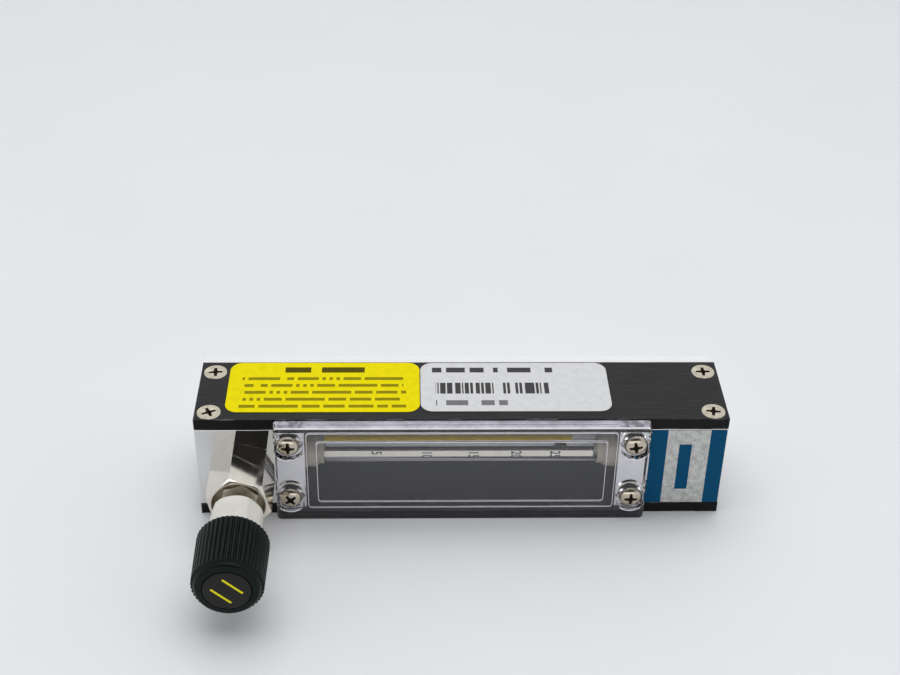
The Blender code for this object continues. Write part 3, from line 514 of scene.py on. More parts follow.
def vinyl(finish, colour, ink, mask, gloss=0.34):
    """Joins base colour and ink, with the small dents and the dust that a label picks up."""
    dents = finish.noise(1.8, 3.0)
    paper = finish.noise(0.25, 2.0)
    aged = finish.mixed(colour, tuple(0.93 * c for c in colour), dents.eased(0.4, 0.7))
    printed = finish.mixed(aged, ink, mask * (0.86 + 0.14 * paper))
    rough = gloss + 0.12 * dents + 0.05 * paper
    surface = finish.bump(dents, 0.012)
    return finish.done(Base_Color=printed, Roughness=rough, Specular_IOR_Level=0.03, Normal=surface)


# %% Yellow, white and blue labels
def yellow_print(half_x, half_y):
    """A heading bar and five rows of plain bars."""
    made = Finish("yellow vinyl label", "yellow_label")
    mask = broken_row(made, (-half_x * 0.42, half_x * 0.42), (half_y - 4.1, half_y - 1.9), 2.6, 0.84, 1)
    for row in range(5):
        top = half_y - 6.0 - 2.75 * row
        reach = half_x * (0.86 - 0.03 * (row % 2))
        mask = mask.most(broken_row(made, (-reach, reach), (top - 1.15, top), 0.85, 0.76, 2 + row) * 0.75)
    return vinyl(made, (0.82, 0.70, 0.001), (0.030, 0.024, 0.003), mask)


def white_print(half_x, half_y):
    """One row of bars, a strip of upright bars and a short row under it."""
    made = Finish("white vinyl label", "white_label")
    head = broken_row(made, (-half_x * 0.88, half_x * 0.42), (half_y - 4.0, half_y - 2.0), 1.15, 0.70, 11)
    strip = broken_row(made, (-half_x * 0.84, half_x * 0.36), (half_y - 12.6, half_y - 8.2), 0.33, 0.55, 12)
    foot = broken_row(made, (-half_x * 0.84, -half_x * 0.04), (half_y - 17.2, half_y - 15.2), 1.05, 0.66, 13)
    return vinyl(made, (0.66, 0.66, 0.665), (0.015, 0.015, 0.018), head.most(strip).most(foot * 0.8))


def blue_print(half_x, half_y):
    """Two blue bands on brushed foil, with one plain blue bar between them."""
    made = Finish("blue and foil label", "blue_label")
    band = (made.x < 4.2 - half_x).most(made.x > half_x - 3.8)
    bar = rectangle(made, (-1.9, 1.1), (-half_y * 0.62, half_y * 0.62))
    blue = band.most(bar)
    foil = made.noise(0.35, 3.0, 0.6, made.stretched(1.0, 0.5, 1.0))
    cloud = made.noise(1.7, 4.0, 0.6)
    silver = made.mixed((0.40, 0.40, 0.39), (0.66, 0.66, 0.64), (cloud * 0.6 + foil * 0.4).eased(0.35, 0.65))
    ink = made.mixed((0.0, 0.058, 0.140), (0.0, 0.080, 0.18), cloud)
    rough = 0.30 + 0.15 * foil + 0.1 * blue
    return made.done(
        Base_Color=made.mixed(silver, ink, blue), Metallic=(1.0 - blue) * 0.55, Roughness=rough,
        Specular_IOR_Level=0.08, Normal=made.bump(foil + cloud, 0.006),
    )


print("label prints ready")

# %% [markdown]
# ## Shapes that a lathe makes
#
# Half of this object was turned: screws, ports, collar, knob and ball. A Screw modifier could spin a
# profile. The helper below joins rings of points by hand instead, because a ring can then also be a
# rectangle with round corners or the ribbed outline of the knob.
#
# Turned pieces keep their own axis as local Z. That places them with one matrix, and it lets a finish
# find the axis again when it draws lathe marks.

# %% Rings, lofts and turned blanks
def as_mesh(name, shape):
    """The mesh that a bmesh holds. The bmesh is freed."""
    mesh = bpy.data.meshes.new(name)
    shape.to_mesh(mesh)
    shape.free()
    return mesh


def loft(name, rings, looped=False):
    """Joins rings of points in order. A ring of one point closes an end, and a looped set has no ends."""
    shape = bmesh.new()
    rows = [[shape.verts.new(point) for point in ring] for ring in rings]
    following = rows[1:] + (rows[:1] if looped else [])
    for low, high in zip(rows, following):
        count = max(len(low), len(high))
        for i in range(count):
            j = (i + 1) % count
            corners = [low[i % len(low)], low[j % len(low)], high[j % len(high)], high[i % len(high)]]
            shape.faces.new(list(dict.fromkeys(corners)))
    for end in (rows[0], rows[-1]):
        if not looped and len(end) > 1:
            shape.faces.new(end)
    bmesh.ops.recalc_face_normals(shape, faces=shape.faces)
    return as_mesh(name, shape)


def ring(along, radius, facets):
    """A circle round local Z, or the one point on it where the radius is 0."""
    if not radius:
        return [(0.0, 0.0, along)]
    angles = [i * math.tau / facets for i in range(facets)]
    return [(radius * math.cos(a), radius * math.sin(a), along) for a in angles]


def turned(name, profile, facets=96):
    """Spins (along, radius) points about local Z. A profile that starts off the axis closes on itself."""
    rings = [ring(along, radius, facets) for along, radius in profile]
    return loft(name, rings, looped=bool(profile[0][1]))


def rounded_rectangle(along, length, width, corner, steps=8):
    """A ring round a rectangle with round corners, in local X and Y."""
    points = []
    for quarter, (sx, sy) in enumerate(((1, 1), (-1, 1), (-1, -1), (1, -1))):
        for i in range(steps + 1):
            angle = math.radians(90) * (quarter + i / steps)
            x = sx * (length / 2 - corner) + corner * math.cos(angle)
            y = sy * (width / 2 - corner) + corner * math.sin(angle)
            points.append((x, y, along))
    return points


print("lofts ready")

# %% [markdown]
# ## Places
#
# Every piece is built on one of eight axes: the valve, the two ports, the tube, and the four flat faces.
# Each is a matrix whose Z points along or out of the body, and its origin comes from the frame's own
# boxes: the middle of the bonnet gives the valve's axis, and the front of the inlet block gives its zero.
# `span` then reads how far a node reaches along such an axis.

# %% Axes taken from the frame
LEVEL = math.radians(90)
block_low, block_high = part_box("inlet_block")
plate_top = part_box("upper_side_plate")[1].z


def middle_of(node):
    low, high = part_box(node)
    return (low + high) / 2


def axis(node, y, tilt):
    centre = middle_of(node)
    return Matrix.Translation((centre.x, y, centre.z)) @ Matrix.Rotation(tilt, 4, "X")


VALVE = axis("valve_bonnet", block_low.y, LEVEL)
INLET = axis("inlet_fitting", block_high.y, -LEVEL)
OUTLET = axis("outlet_fitting", block_high.y, -LEVEL)
FRONT = Matrix.Translation((0, block_low.y, middle_of("front_shield").z)) @ Matrix.Rotation(LEVEL, 4, "X")
REAR = Matrix.Translation((0, block_high.y, middle_of("back_plate").z)) @ Matrix.Rotation(-LEVEL, 4, "X")
TUBE = Matrix.Translation((0, *middle_of("flow_tube").yz)) @ Matrix.Rotation(LEVEL, 4, "Y")
UPPER = Matrix.Translation((0, 0, plate_top))
LOWER = Matrix.Rotation(2 * LEVEL, 4, "X")


def span(node, on):
    """(nearest, furthest) of a node along an axis, and its largest reach from it."""
    corners = [on.inverted() @ Vector(v.co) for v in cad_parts[node].data.vertices]
    reach = max(math.hypot(c.x, c.y) for c in corners)
    return min(c.z for c in corners), max(c.z for c in corners), reach


print("valve axis at", tuple(round(v / MM, 2) for v in VALVE.translation), "mm")

# %% [markdown]
# ## Putting a piece on the object
#
# One function does what every piece needs. It makes the object, gives it its finish, parents it to the
# body it rides on and hides the frame's node that it replaces. Softened edges come from a Bevel modifier,
# limited by angle, so that only real edges are rounded and flat faces stay flat.

# %% Add, soften and cut
def placed(name, data, on=Matrix.Identity(4)):
    """A new object in the scene, where the matrix puts it."""
    made = bpy.data.objects.new(name, data)
    scene.collection.objects.link(made)
    made.matrix_world = on
    return made


def modified_mesh(piece):
    """A copy of a piece's mesh with its modifiers worked in."""
    bpy.context.view_layer.update()
    graph = bpy.context.evaluated_depsgraph_get()
    return bpy.data.meshes.new_from_object(piece.evaluated_get(graph))


def shaded(mesh, angle=32):
    mesh.shade_smooth()
    mesh.set_sharp_from_angle(angle=math.radians(angle))
    return mesh


def soften(piece, width, segments=3, angle=32):
    """Rounds every edge that is sharper than the angle."""
    bevel = piece.modifiers.new("soft edges", "BEVEL")
    bevel.width = width
    bevel.segments = segments
    bevel.limit_method = "ANGLE"
    bevel.angle_limit = math.radians(angle)


def combine(piece, mesh, operation, on=None):
    """Cuts, joins or intersects with another shape, which is used up."""
    tool = placed(mesh.name, mesh, on if on is not None else piece.matrix_world)
    change = piece.modifiers.new(mesh.name, "BOOLEAN")
    change.operation = operation
    change.solver = "EXACT"
    change.object = tool
    piece.data = modified_mesh(piece)
    piece.modifiers.clear()
    bpy.data.objects.remove(tool)
    return piece


def add(name, mesh, finish, body, on=Matrix.Identity(4), replaces=(), edge=0.0, segments=3):
    """One piece: in place, finished, softened and riding on its body."""
    piece = placed(name, shaded(mesh), on)
    piece.data.materials.append(finish.material)
    if edge:
        soften(piece, edge, segments)
    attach(piece, body)
    if replaces:
        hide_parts(*replaces)
    return piece


def settle(piece, finish, edge=0.0, segments=3):
    """After cuts: shade again, put the finish back and soften the edges."""
    shaded(piece.data)
    piece.data.materials.clear()
    piece.data.materials.append(finish.material)
    for face in piece.data.polygons:
        face.material_index = 0
    if edge:
        soften(piece, edge, segments)
    return piece


def box_mesh(name, low, high):
    shape = bmesh.new()
    bmesh.ops.create_cube(shape, size=1.0)
    size = [b - a for a, b in zip(low, high)]
    middle = [(a + b) / 2 for a, b in zip(low, high)]
    bmesh.ops.transform(shape, matrix=Matrix.LocRotScale(middle, None, size), verts=shape.verts)
    return as_mesh(name, shape)


print("piece helpers ready")

# %% [markdown]
# ## Side plates
#
# Each plate is a sawn and blasted aluminium bar with a countersunk hole near each corner. The cone of a
# countersink shows as a thin dark ring round the screw head, so it has to be a real cut. Every cutter is
# turned on the spot where the frame has the screw.

# %% Side plates with countersinks
SEAM = 0.1 * MM
BORE_FACETS = 64
HEAD_CONE = 1.55 * MM
PLATE_EDGE = 0.16 * MM


def countersink(head_reach, through):
    """A cone for the head, and then a hole a little over half as wide."""
    mouth = head_reach + SEAM
    hole = 0.56 * mouth
    profile = [(SEAM, 0), (SEAM, mouth), (0, mouth), (-HEAD_CONE, hole), (-through, hole), (-through, 0)]
    return turned("countersink", profile, BORE_FACETS)


def side_plate(which, on):
    node = f"{which}_side_plate"
    low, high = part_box(node)
    plate = add(node + "_anodised", box_mesh(node, low, high), plates[node], "frame", replaces=[node])
    for i in range(1, 5):
        screw = f"{which}_side_screw_{i}"
        centre = middle_of(screw)
        here = Matrix.Translation((centre.x, centre.y, on.translation.z)) @ on.to_3x3().to_4x4()
        left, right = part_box(screw)
        combine(plate, countersink((right.x - left.x) / 2, high.z - low.z + SEAM), "DIFFERENCE", here)
    return settle(plate, plates[node], PLATE_EDGE)


for which, on in (("upper", UPPER), ("lower", LOWER)):
    side_plate(which, on)
print("side plates: 2, with 8 countersinks")

# %% [markdown]
# ## Chromed blocks
#
# The two end blocks are polished all over, and most of what they show is their surroundings.
# So the shape stays simple: a box with a small radius on its edges, which catches one bright line, and
# the bores that open on its faces.

# %% Blocks and their bores
BLOCK_EDGE = 0.18 * MM
VALVE_BORE, VALVE_BORE_DEPTH = 5.5 * MM, 6.4 * MM
FITTING_BORE, FITTING_BORE_DEPTH = 5.1 * MM, 6.3 * MM
SEAT_BORE_DEPTH = 4.0 * MM
PLUG_SINK = 0.5 * MM


def plain_bore(name, near, far, radius):
    return turned(name, [(near, 0), (near, radius), (far, radius), (far, 0)], BORE_FACETS)


def block(node, bores):
    low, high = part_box(node)
    piece = add(node + "_chromed", box_mesh(node, low, high), chrome, "frame", replaces=[node])
    for on, near, far, radius in bores:
        combine(piece, plain_bore(node + "_bore", near, far, radius), "DIFFERENCE", on)
    return settle(piece, chrome, BLOCK_EDGE)


plug_in, plug_out, plug_reach = span("end_plug", TUBE)
seat_reach = span("inlet_tube_seat", TUBE)[2]
block_inner = block_high.x
block("inlet_block", [
    (VALVE, -VALVE_BORE_DEPTH, SEAM, VALVE_BORE),
    (INLET, -FITTING_BORE_DEPTH, SEAM, FITTING_BORE),
    (TUBE, block_inner - SEAT_BORE_DEPTH, block_inner + SEAM, seat_reach + SEAM),
])
block("outlet_block", [
    (OUTLET, -FITTING_BORE_DEPTH, SEAM, FITTING_BORE),
    (TUBE, -block_inner - SEAM, -block_inner + SEAT_BORE_DEPTH, seat_reach + SEAM),
    (TUBE, plug_in - SEAM, plug_out + PLUG_SINK, plug_reach + SEAM),
])
print("blocks: inlet with 3 bores, outlet with 3 bores")

# %% [markdown]
# ## Back plate
#
# A white sheet closes the rear, so that the ball is seen against something pale. It is cut from sheet, so
# its edge is square with only the saw's burr taken off.

# %% Back plate
SHEET_CORNER, SHEET_EDGE, SHEET_HOLE = 0.3 * MM, 0.2 * MM, 5.3 * MM
near, far, _ = span("back_plate", REAR)
low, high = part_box("back_plate")
length, width = high.x - low.x, high.z - low.z
sheet = loft("back_plate", [rounded_rectangle(h, length, width, SHEET_CORNER, 3) for h in (near, far)])
back = add("back_plate_sheet", sheet, sheet_white, "frame", REAR, ["back_plate"])
for on in (INLET, OUTLET):
    combine(back, plain_bore("back_plate_hole", near - SEAM, far + SEAM, SHEET_HOLE), "DIFFERENCE", on)
settle(back, sheet_white, SHEET_EDGE)
print("back plate", round(length / MM, 1), "x", round(width / MM, 1), "mm")

# %% [markdown]
# ## Front shield
#
# The shield is one piece of clear acrylic: a flat front with a chamfer all round, and a pocket in its
# back that goes down in two steps. Light enters one edge and leaves by another, so the shape needs a
# true inside. A single thin surface would not bend light.
#
# The bright outlines that we see are partly painted. Wherever the cutter ran, it left a narrow strip
# that scatters light and carries a painted glow. Those strips are faces that lean, neither flat on nor square
# to the front, so their normals find them. The outer chamfer leans too, but it is polished except along the
# top.

# %% Shield
CHAMFER = 0.3 * MM
STRIP = 0.15 * MM
SHIELD_CORNER = 0.9 * MM
REBATE, REBATE_WALL = (73.6 * MM, 22.8 * MM), 2.3 * MM
POCKET, POCKET_WALL = (68.8 * MM, 18.4 * MM), 1.5 * MM
COUNTERBORE, COUNTERBORE_FLOOR, COUNTERBORE_EDGE = 3.5 * MM, 1.7 * MM, 0.15 * MM
SCREW_CLEARANCE = 1.6 * MM
shield_in, shield_out, _ = span("front_shield", FRONT)
shield_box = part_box("front_shield")
shield_size = (shield_box[1].x - shield_box[0].x, shield_box[1].z - shield_box[0].z)
HEAD_FLOOR = shield_out - COUNTERBORE_FLOOR


def outline(along, size, inset=0.0):
    """A ring of the shield, moved inward by the inset."""
    length, width = (side - 2 * inset for side in size)
    return rounded_rectangle(along, length, width, SHIELD_CORNER - inset / 2)


def shield_rings():
    step, floor = shield_out - REBATE_WALL, shield_out - POCKET_WALL
    return [
        outline(shield_out, shield_size, CHAMFER), outline(shield_out - CHAMFER, shield_size),
        outline(shield_in, shield_size), outline(shield_in, REBATE, -STRIP / 2),
        outline(shield_in + STRIP, REBATE), outline(step - STRIP, REBATE), outline(step, REBATE, STRIP),
        outline(step, POCKET, -STRIP / 2),
        outline(step + STRIP / 2, POCKET), outline(floor - STRIP, POCKET), outline(floor, POCKET, STRIP),
    ]


def counterbore():
    """A screw's hole, with a seat for its head and a small chamfer at the mouth."""
    mouth = COUNTERBORE + COUNTERBORE_EDGE
    profile = [
        (shield_out + SEAM, 0), (shield_out + SEAM, mouth + SEAM),
        (shield_out - COUNTERBORE_EDGE, COUNTERBORE), (HEAD_FLOOR, COUNTERBORE),
        (HEAD_FLOOR, SCREW_CLEARANCE), (-SEAM, SCREW_CLEARANCE), (-SEAM, 0),
    ]
    return turned("counterbore", profile, BORE_FACETS)


def finish_shield(piece):
    """Leaning faces get the milled line, save the polished outer chamfer, and the top face the sawn edge."""
    settle(piece, shield_finish)
    for finish in (milled_line, sawn_edge):
        piece.data.materials.append(finish.material)
    for face in piece.data.polygons:
        outer = face.center.z > shield_out - 1.2 * CHAMFER
        leaning = 0.15 < abs(face.normal.z) < 0.97 and (face.normal.y > 0.5 or not outer)
        on_top = face.normal.y > 0.9 and face.center.y > shield_size[1] / 2 - SEAM
        face.material_index = 1 if leaning else 2 if on_top else 0


shield = add("shield_clear", loft("shield", shield_rings()), shield_finish, "frame", FRONT, ["front_shield"])
for i in range(1, 5):
    centre = middle_of(f"shield_screw_{i}")
    here = Matrix.Translation((centre.x, block_low.y, centre.z)) @ Matrix.Rotation(LEVEL, 4, "X")
    combine(shield, counterbore(), "DIFFERENCE", here)
finish_shield(shield)
print("shield", [round(s / MM, 1) for s in shield_size], "mm, 4 counterbores")

# %% [markdown]
# ## Screws
#
# Twelve cross-head screws, all of the same thread. The eight in the side plates have flat heads, and the
# four in the shield have domed ones. The cross is a wedge that narrows as it goes down, with a small
# cone at its root where the driver's tip goes. It is cut once for each kind of head, and each screw gets a
# copy of that mesh.

# %% Screw meshes
SHANK = 1.42 * MM
HEAD_RIM, HEAD_DEPTH = 0.06 * MM, 1.6 * MM
RECESS_ARM, RECESS_WIDTH, RECESS_DEPTH = 1.7 * MM, 0.82 * MM, 1.15 * MM


def cross_cutter(top):
    """Two crossed wedges, as one outline of twelve points at three heights."""
    half = RECESS_WIDTH / 2
    corner = half * 1.5
    outline = [(RECESS_ARM, -half * 0.8), (RECESS_ARM, half * 0.8), (corner, half), (half, corner)]
    cross = []
    for quarter in range(4):
        turn = Matrix.Rotation(quarter * LEVEL, 2)
        cross += [turn @ Vector(point) for point in outline]
    sizes = ((top + SEAM, 1.06), (top, 1.0), (top - 0.6 * RECESS_DEPTH, 0.72), (top - RECESS_DEPTH, 0.30))
    return loft("cross", [[(p.x * s, p.y * s, h) for p in cross] for h, s in sizes])


def dome(top, reach, height, steps=10):
    """The round of a domed head, from its middle to its rim."""
    points = []
    for i in range(steps + 1):
        angle = LEVEL * i / steps
        points.append((top - height * (1 - math.cos(angle)), reach * math.sin(angle) ** 0.8))
    return points


def screw_mesh(name, profile, top):
    """Turned, cut and rounded, with painted shade and grime on the walls and the root of its cross."""
    blank = placed(name, turned(name, profile, BORE_FACETS))
    combine(blank, cross_cutter(top), "DIFFERENCE")
    soften(blank, 0.05 * MM, 2, 40)
    mesh = modified_mesh(blank)
    bpy.data.objects.remove(blank)
    mesh.materials.clear()
    for finish in (nickel, shade_and_grime):
        mesh.materials.append(finish.material)
    for face in mesh.polygons:
        inside = face.center.xy.length < RECESS_ARM * 1.1 and face.center.z > top - 1.2 * RECESS_DEPTH
        deep = face.center.z < top - 0.8 * RECESS_DEPTH
        # The walls and root of the cross get the painted shade and grime.
        face.material_index = int(inside and (deep or face.normal.z < 0.75))
    return shaded(mesh, 35)


def flat_head(node, on):
    end, top, reach = span(node, on)
    head = [(top, 0), (top, reach * 0.97), (top - HEAD_RIM, reach), (top - HEAD_DEPTH, SHANK)]
    return screw_mesh("flat_head_screw", head + [(end, SHANK), (end, 0)], top)


def pan_head(node, on):
    end, top, reach = span(node, on)
    under = HEAD_FLOOR + SEAM
    profile = dome(top, reach, (top - under) * 0.8) + [(under, reach), (under, SHANK), (end, SHANK), (end, 0)]
    return screw_mesh("pan_head_screw", profile, top)


def screw_axis(node, on):
    """The face's own axis, moved to the screw."""
    centre = middle_of(node)
    flat = on.inverted() @ centre
    return on @ Matrix.Translation((flat.x, flat.y, 0))


# %% Twelve screws in place
SIDE_TURNS = (25, 5, 80, 0)
SHIELD_TURNS = (0, 38, 10, 0)


def set_screw(node, mesh, on, degrees):
    """Each screw stopped at its own angle, so each has its own copy of the mesh, turned."""
    turned_mesh = mesh.copy()
    turned_mesh.transform(Matrix.Rotation(math.radians(degrees), 4, "Z"))
    piece = placed(node + "_nickel", turned_mesh, screw_axis(node, on))
    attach(piece, "frame")
    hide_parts(node)


flat_mesh = flat_head("upper_side_screw_1", screw_axis("upper_side_screw_1", UPPER))
pan_mesh = pan_head("shield_screw_1", screw_axis("shield_screw_1", FRONT))
for i in range(4):
    set_screw(f"upper_side_screw_{i + 1}", flat_mesh, UPPER, SIDE_TURNS[i])
    set_screw(f"lower_side_screw_{i + 1}", flat_mesh, LOWER, SIDE_TURNS[i])
    set_screw(f"shield_screw_{i + 1}", pan_mesh, FRONT, SHIELD_TURNS[i])
print("screws: 12, on", len(flat_mesh.polygons), "and", len(pan_mesh.polygons), "faces")

# %% [markdown]
# ## The flow tube
#
# The tube is thick glass with a bore that widens a little towards the outlet. Its outside carries two
# fired enamel stripes and the scale. The stripes are thin shells that follow the glass, a few hundredths
# of a millimetre proud of it, as enamel is.

# %% Tube, seats and ball
tube_low, tube_high, tube_reach = span("flow_tube", TUBE)
INLET_BORE, OUTLET_BORE = 1.65 * MM, 2.15 * MM
TUBE_EDGE = 0.2 * MM
FINE_FACETS = 128
tube_profile = [
    (tube_low, INLET_BORE), (tube_low, tube_reach - TUBE_EDGE), (tube_low + TUBE_EDGE, tube_reach),
    (tube_high - TUBE_EDGE, tube_reach), (tube_high, tube_reach - TUBE_EDGE), (tube_high, OUTLET_BORE),
]
add("flow_tube_glass", turned("flow_tube", tube_profile, FINE_FACETS), glass, "frame", TUBE, ["flow_tube"])

SEAT_EDGE, SEAT_SOCKET, GAS_HOLE = 0.25 * MM, 2.2 * MM, 1.6 * MM
NECK_LENGTH, NECK_WALL = 1.5 * MM, 0.35 * MM

for node, side in (("inlet_tube_seat", -1), ("outlet_tube_seat", 1)):
    near, far, reach = span(node, TUBE)
    shows, buried = (far, near) if side < 0 else (near, far)
    inner = tube_reach + SEAM
    shoulder = buried - side * SEAT_SOCKET
    step, neck = shows + side * NECK_LENGTH, inner + NECK_WALL
    profile = [
        (shows, inner), (shows, neck), (step, neck), (step, reach - SEAT_EDGE),
        (step + side * SEAT_EDGE, reach), (buried, reach), (buried, GAS_HOLE), (shoulder, GAS_HOLE),
        (shoulder, inner),
    ]
    add(node + "_turned", turned(node, profile), seat_cream, "frame", TUBE, [node], 0.06 * MM, 2)


def ball_mesh(centre, radius, steps=32):
    angles = [math.pi * i / steps for i in range(steps + 1)]
    profile = [(centre - radius * math.cos(a), radius * math.sin(a)) for a in angles[1:-1]]
    return turned("float_ball", [(centre - radius, 0), *profile, (centre + radius, 0)], 64)


ball_low, ball_high, _ = span("float_ball", TUBE)
ball_radius = (ball_high - ball_low) / 2
add("float_ball_glass", ball_mesh(0, ball_radius), ball_black, "float",
    TUBE @ Matrix.Translation((0, 0, (ball_low + ball_high) / 2)), ["float_ball"])
print("tube", round((tube_high - tube_low) / MM, 1), "mm long, ball", round(2 * ball_radius / MM, 2), "mm")

# %% [markdown]
# ### Stripes and numerals that follow the glass
#
# Numerals could be an image wrapped on the tube. As geometry they stay sharp at any distance: a text
# object becomes a mesh, is sliced into narrow strips so that it can bend, and then each point's place
# along the line of text becomes an angle round the tube. The scale reads with the outlet end up, so the
# tops of the numerals point along the tube, and its steps shorten as the bore widens.

# %% Wrapping a flat mesh round the tube
ENAMEL = 0.02 * MM
TEXT_SIZE = 3.5 * MM
TEXT_NARROW = 0.55
TEXT_BOLD = 0.05 * MM
TEXT_SLICE, TEXT_SLICES = 0.12 * MM, 60
FRONT_ANGLE = {"cream": (-3.0, 23.0), "amber": (66.0, 118.0)}


def round_tube(along, degrees, out):
    """A point on the tube. 0 degrees faces the front and 90 the upper plate; local X points down."""
    angle = math.radians(degrees)
    reach = tube_reach + out
    return (-reach * math.sin(angle), -reach * math.cos(angle), along)


def stripe(name, start, end, degrees, finish, steps=12):
    """A thin shell between two places along the tube and two angles round it."""
    rings = []
    for along in (start, end):
        turn = [degrees[0] + (degrees[1] - degrees[0]) * i / steps for i in range(steps + 1)]
        outside = [round_tube(along, t, ENAMEL) for t in turn]
        inside = [round_tube(along, t, ENAMEL / 4) for t in reversed(turn)]
        rings.append(outside + inside)
    return add(name, loft(name, rings), finish, "frame", TUBE)


def numeral_mesh(text):
    """Flat text, sliced across so that it can bend, with its middle at the origin."""
    curve = bpy.data.curves.new(text, "FONT")
    curve.body = text
    curve.size = TEXT_SIZE
    curve.align_y = "CENTER"
    curve.offset = TEXT_BOLD
    curve.resolution_u = 4
    holder = placed(text, curve)
    shape = bmesh.new()
    shape.from_mesh(modified_mesh(holder))
    bpy.data.objects.remove(holder)
    for i in range(1, TEXT_SLICES):
        parts = shape.verts[:] + shape.edges[:] + shape.faces[:]
        plane = {"plane_co": (TEXT_SLICE * i, 0, 0), "plane_no": (1, 0, 0)}
        bmesh.ops.bisect_plane(shape, geom=parts, dist=1e-8, **plane)
    return shape


def numeral(text, along, top_degrees):
    """Tops of the numerals point along the tube; each next character lies lower round it."""
    shape = numeral_mesh(text)
    for vert in shape.verts:
        degrees = top_degrees - math.degrees(TEXT_NARROW * vert.co.x / tube_reach)
        vert.co = round_tube(along + vert.co.y, degrees, 2 * ENAMEL)
    raised = bmesh.ops.extrude_face_region(shape, geom=shape.faces[:])
    for item in raised["geom"]:
        if isinstance(item, bmesh.types.BMVert):
            shrink = (tube_reach + 1.2 * ENAMEL) / (tube_reach + 2 * ENAMEL)
            item.co.x *= shrink
            item.co.y *= shrink
    bmesh.ops.recalc_face_normals(shape, faces=shape.faces)
    return add(f"scale_numeral_{text}", as_mesh("scale_" + text, shape), numeral_black, "frame", TUBE)


# %% Scale on the tube
MIDDLE_READING, MIDDLE_AT = 15, 2.9
UNIT_STEP, STEP_SHRINK = 2.16, 0.018
READINGS = range(5, 30, 5)


def scale_place(reading):
    """Where a reading stands along the tube. Its steps shorten as the bore widens."""
    off = reading - MIDDLE_READING
    return (MIDDLE_AT + UNIT_STEP * off - STEP_SHRINK * off * off) * MM


stripe("scale_stripe_cream", -35.0 * MM, 32.0 * MM, FRONT_ANGLE["cream"], cream_enamel)
stripe("rear_stripe_amber", -33.0 * MM, 27.0 * MM, FRONT_ANGLE["amber"], amber_enamel)
for reading in READINGS:
    numeral(str(reading), scale_place(reading), FRONT_ANGLE["cream"][1] - 1.0)
print("scale: 5 numerals at", [round(scale_place(r) / MM, 1) for r in READINGS], "mm")

# %% [markdown]
# ## Hexagons
#
# The bonnet, the two fittings, the collar and the nuts are hexagons with their corners turned off at a
# slant. That slant is a cone, and where a cone meets six flats it leaves the curved arcs that make a nut
# look like a nut. A loft can't give them, so each one is a hexagonal bar intersected with a turned blank.

# %% Hexagons from bar and blank
def hexagon_bar(near, far, across, turn):
    """The bar from near to far, with its corners turned by the angle in radians."""
    corner = across / math.sqrt(3)
    rings = []
    for along in (near, far):
        angles = [turn + i * math.radians(60) for i in range(6)]
        rings.append([(corner * math.cos(a), corner * math.sin(a), along) for a in angles])
    return loft("hexagon_bar", rings)


def hexagon(name, bar, blank, finish, body, on, replaces, edge=0.1 * MM):
    """A piece that is a hexagonal bar where its turned blank is wider than the bar."""
    piece = add(name, turned(name, blank, FINE_FACETS), finish, body, on, replaces)
    combine(piece, hexagon_bar(*bar), "INTERSECT", on)
    return settle(piece, finish, edge, 2)


# %% Valve bonnet and gland nut
HEX_ACROSS = 13.6 * MM
HEX_CORNER = HEX_ACROSS / math.sqrt(3)
_, bonnet_out, _ = span("valve_bonnet", VALVE)
RIM, RECESS, RECESS_FLOOR = 6.6 * MM, 6.15 * MM, bonnet_out - 3.8 * MM
SLANT = 0.65 * MM
GLAND_HOLE, BONNET_THREAD, BONNET_END = 3.6 * MM, 5.4 * MM, -6.2 * MM
RECESS_ROUND = 0.5 * MM
BONNET_TURN = math.radians(-17)
bonnet_blank = [
    (RECESS_FLOOR, RECESS - RECESS_ROUND), (RECESS_FLOOR, GLAND_HOLE), (BONNET_END, GLAND_HOLE),
    (BONNET_END, BONNET_THREAD), (0, BONNET_THREAD), (0, HEX_CORNER - 0.3 * MM),
    (0.35 * MM, HEX_CORNER + SEAM), (bonnet_out - SLANT, HEX_CORNER + SEAM), (bonnet_out, RIM),
    (bonnet_out, RECESS + 0.1 * MM),
    (bonnet_out - 0.15 * MM, RECESS), (RECESS_FLOOR + RECESS_ROUND, RECESS),
]
bonnet = hexagon(
    "valve_bonnet_nickel", (BONNET_END - 0.8 * MM, bonnet_out + SEAM, HEX_ACROSS, BONNET_TURN), bonnet_blank,
    bar_nickel, "frame", VALVE, ["valve_bonnet"], 0.08 * MM,
)
bonnet.data.materials.append(satin.material)
for face in bonnet.data.polygons:
    in_recess = face.center.xy.length < RECESS + 0.05 * MM and face.center.z > RECESS_FLOOR - SEAM
    face.material_index = int(in_recess)

nut_low, nut_out, _ = span("gland_nut", VALVE)
spindle_low, spindle_out, _ = span("spindle", VALVE)
STEM = 1.6 * MM
NUT_ACROSS, NUT_TURN = 8.0 * MM, 0.3
nut_corner = NUT_ACROSS / math.sqrt(3)
nut_blank = [
    (nut_low, STEM + 0.05 * MM), (nut_low, GLAND_HOLE - SEAM), (RECESS_FLOOR + SEAM, GLAND_HOLE - SEAM),
    (RECESS_FLOOR + SEAM, nut_corner), (nut_out - 0.35 * MM, nut_corner), (nut_out, NUT_ACROSS / 2 * 0.97),
    (nut_out, STEM + 0.25 * MM), (nut_out - 0.2 * MM, STEM + 0.05 * MM),
]
hexagon(
    "gland_nut_nickel", (nut_low - SEAM, nut_out + SEAM, NUT_ACROSS, NUT_TURN), nut_blank,
    satin, "frame", VALVE, ["gland_nut"], 0.06 * MM,
)
print("bonnet reaches", round(bonnet_out / MM, 1), "mm, gland nut", round(nut_out / MM, 1), "mm")

# %% [markdown]
# ## Spindle, collar, knob and cap
#
# These turn together. The spindle has a very fine thread, eighty to the inch, so that the needle moves a
# third of a millimetre for each turn. The collar is white acetal. The knob is a moulded shell with
# forty-five ribs that narrow slightly to the front, and a printed disc closes its face.

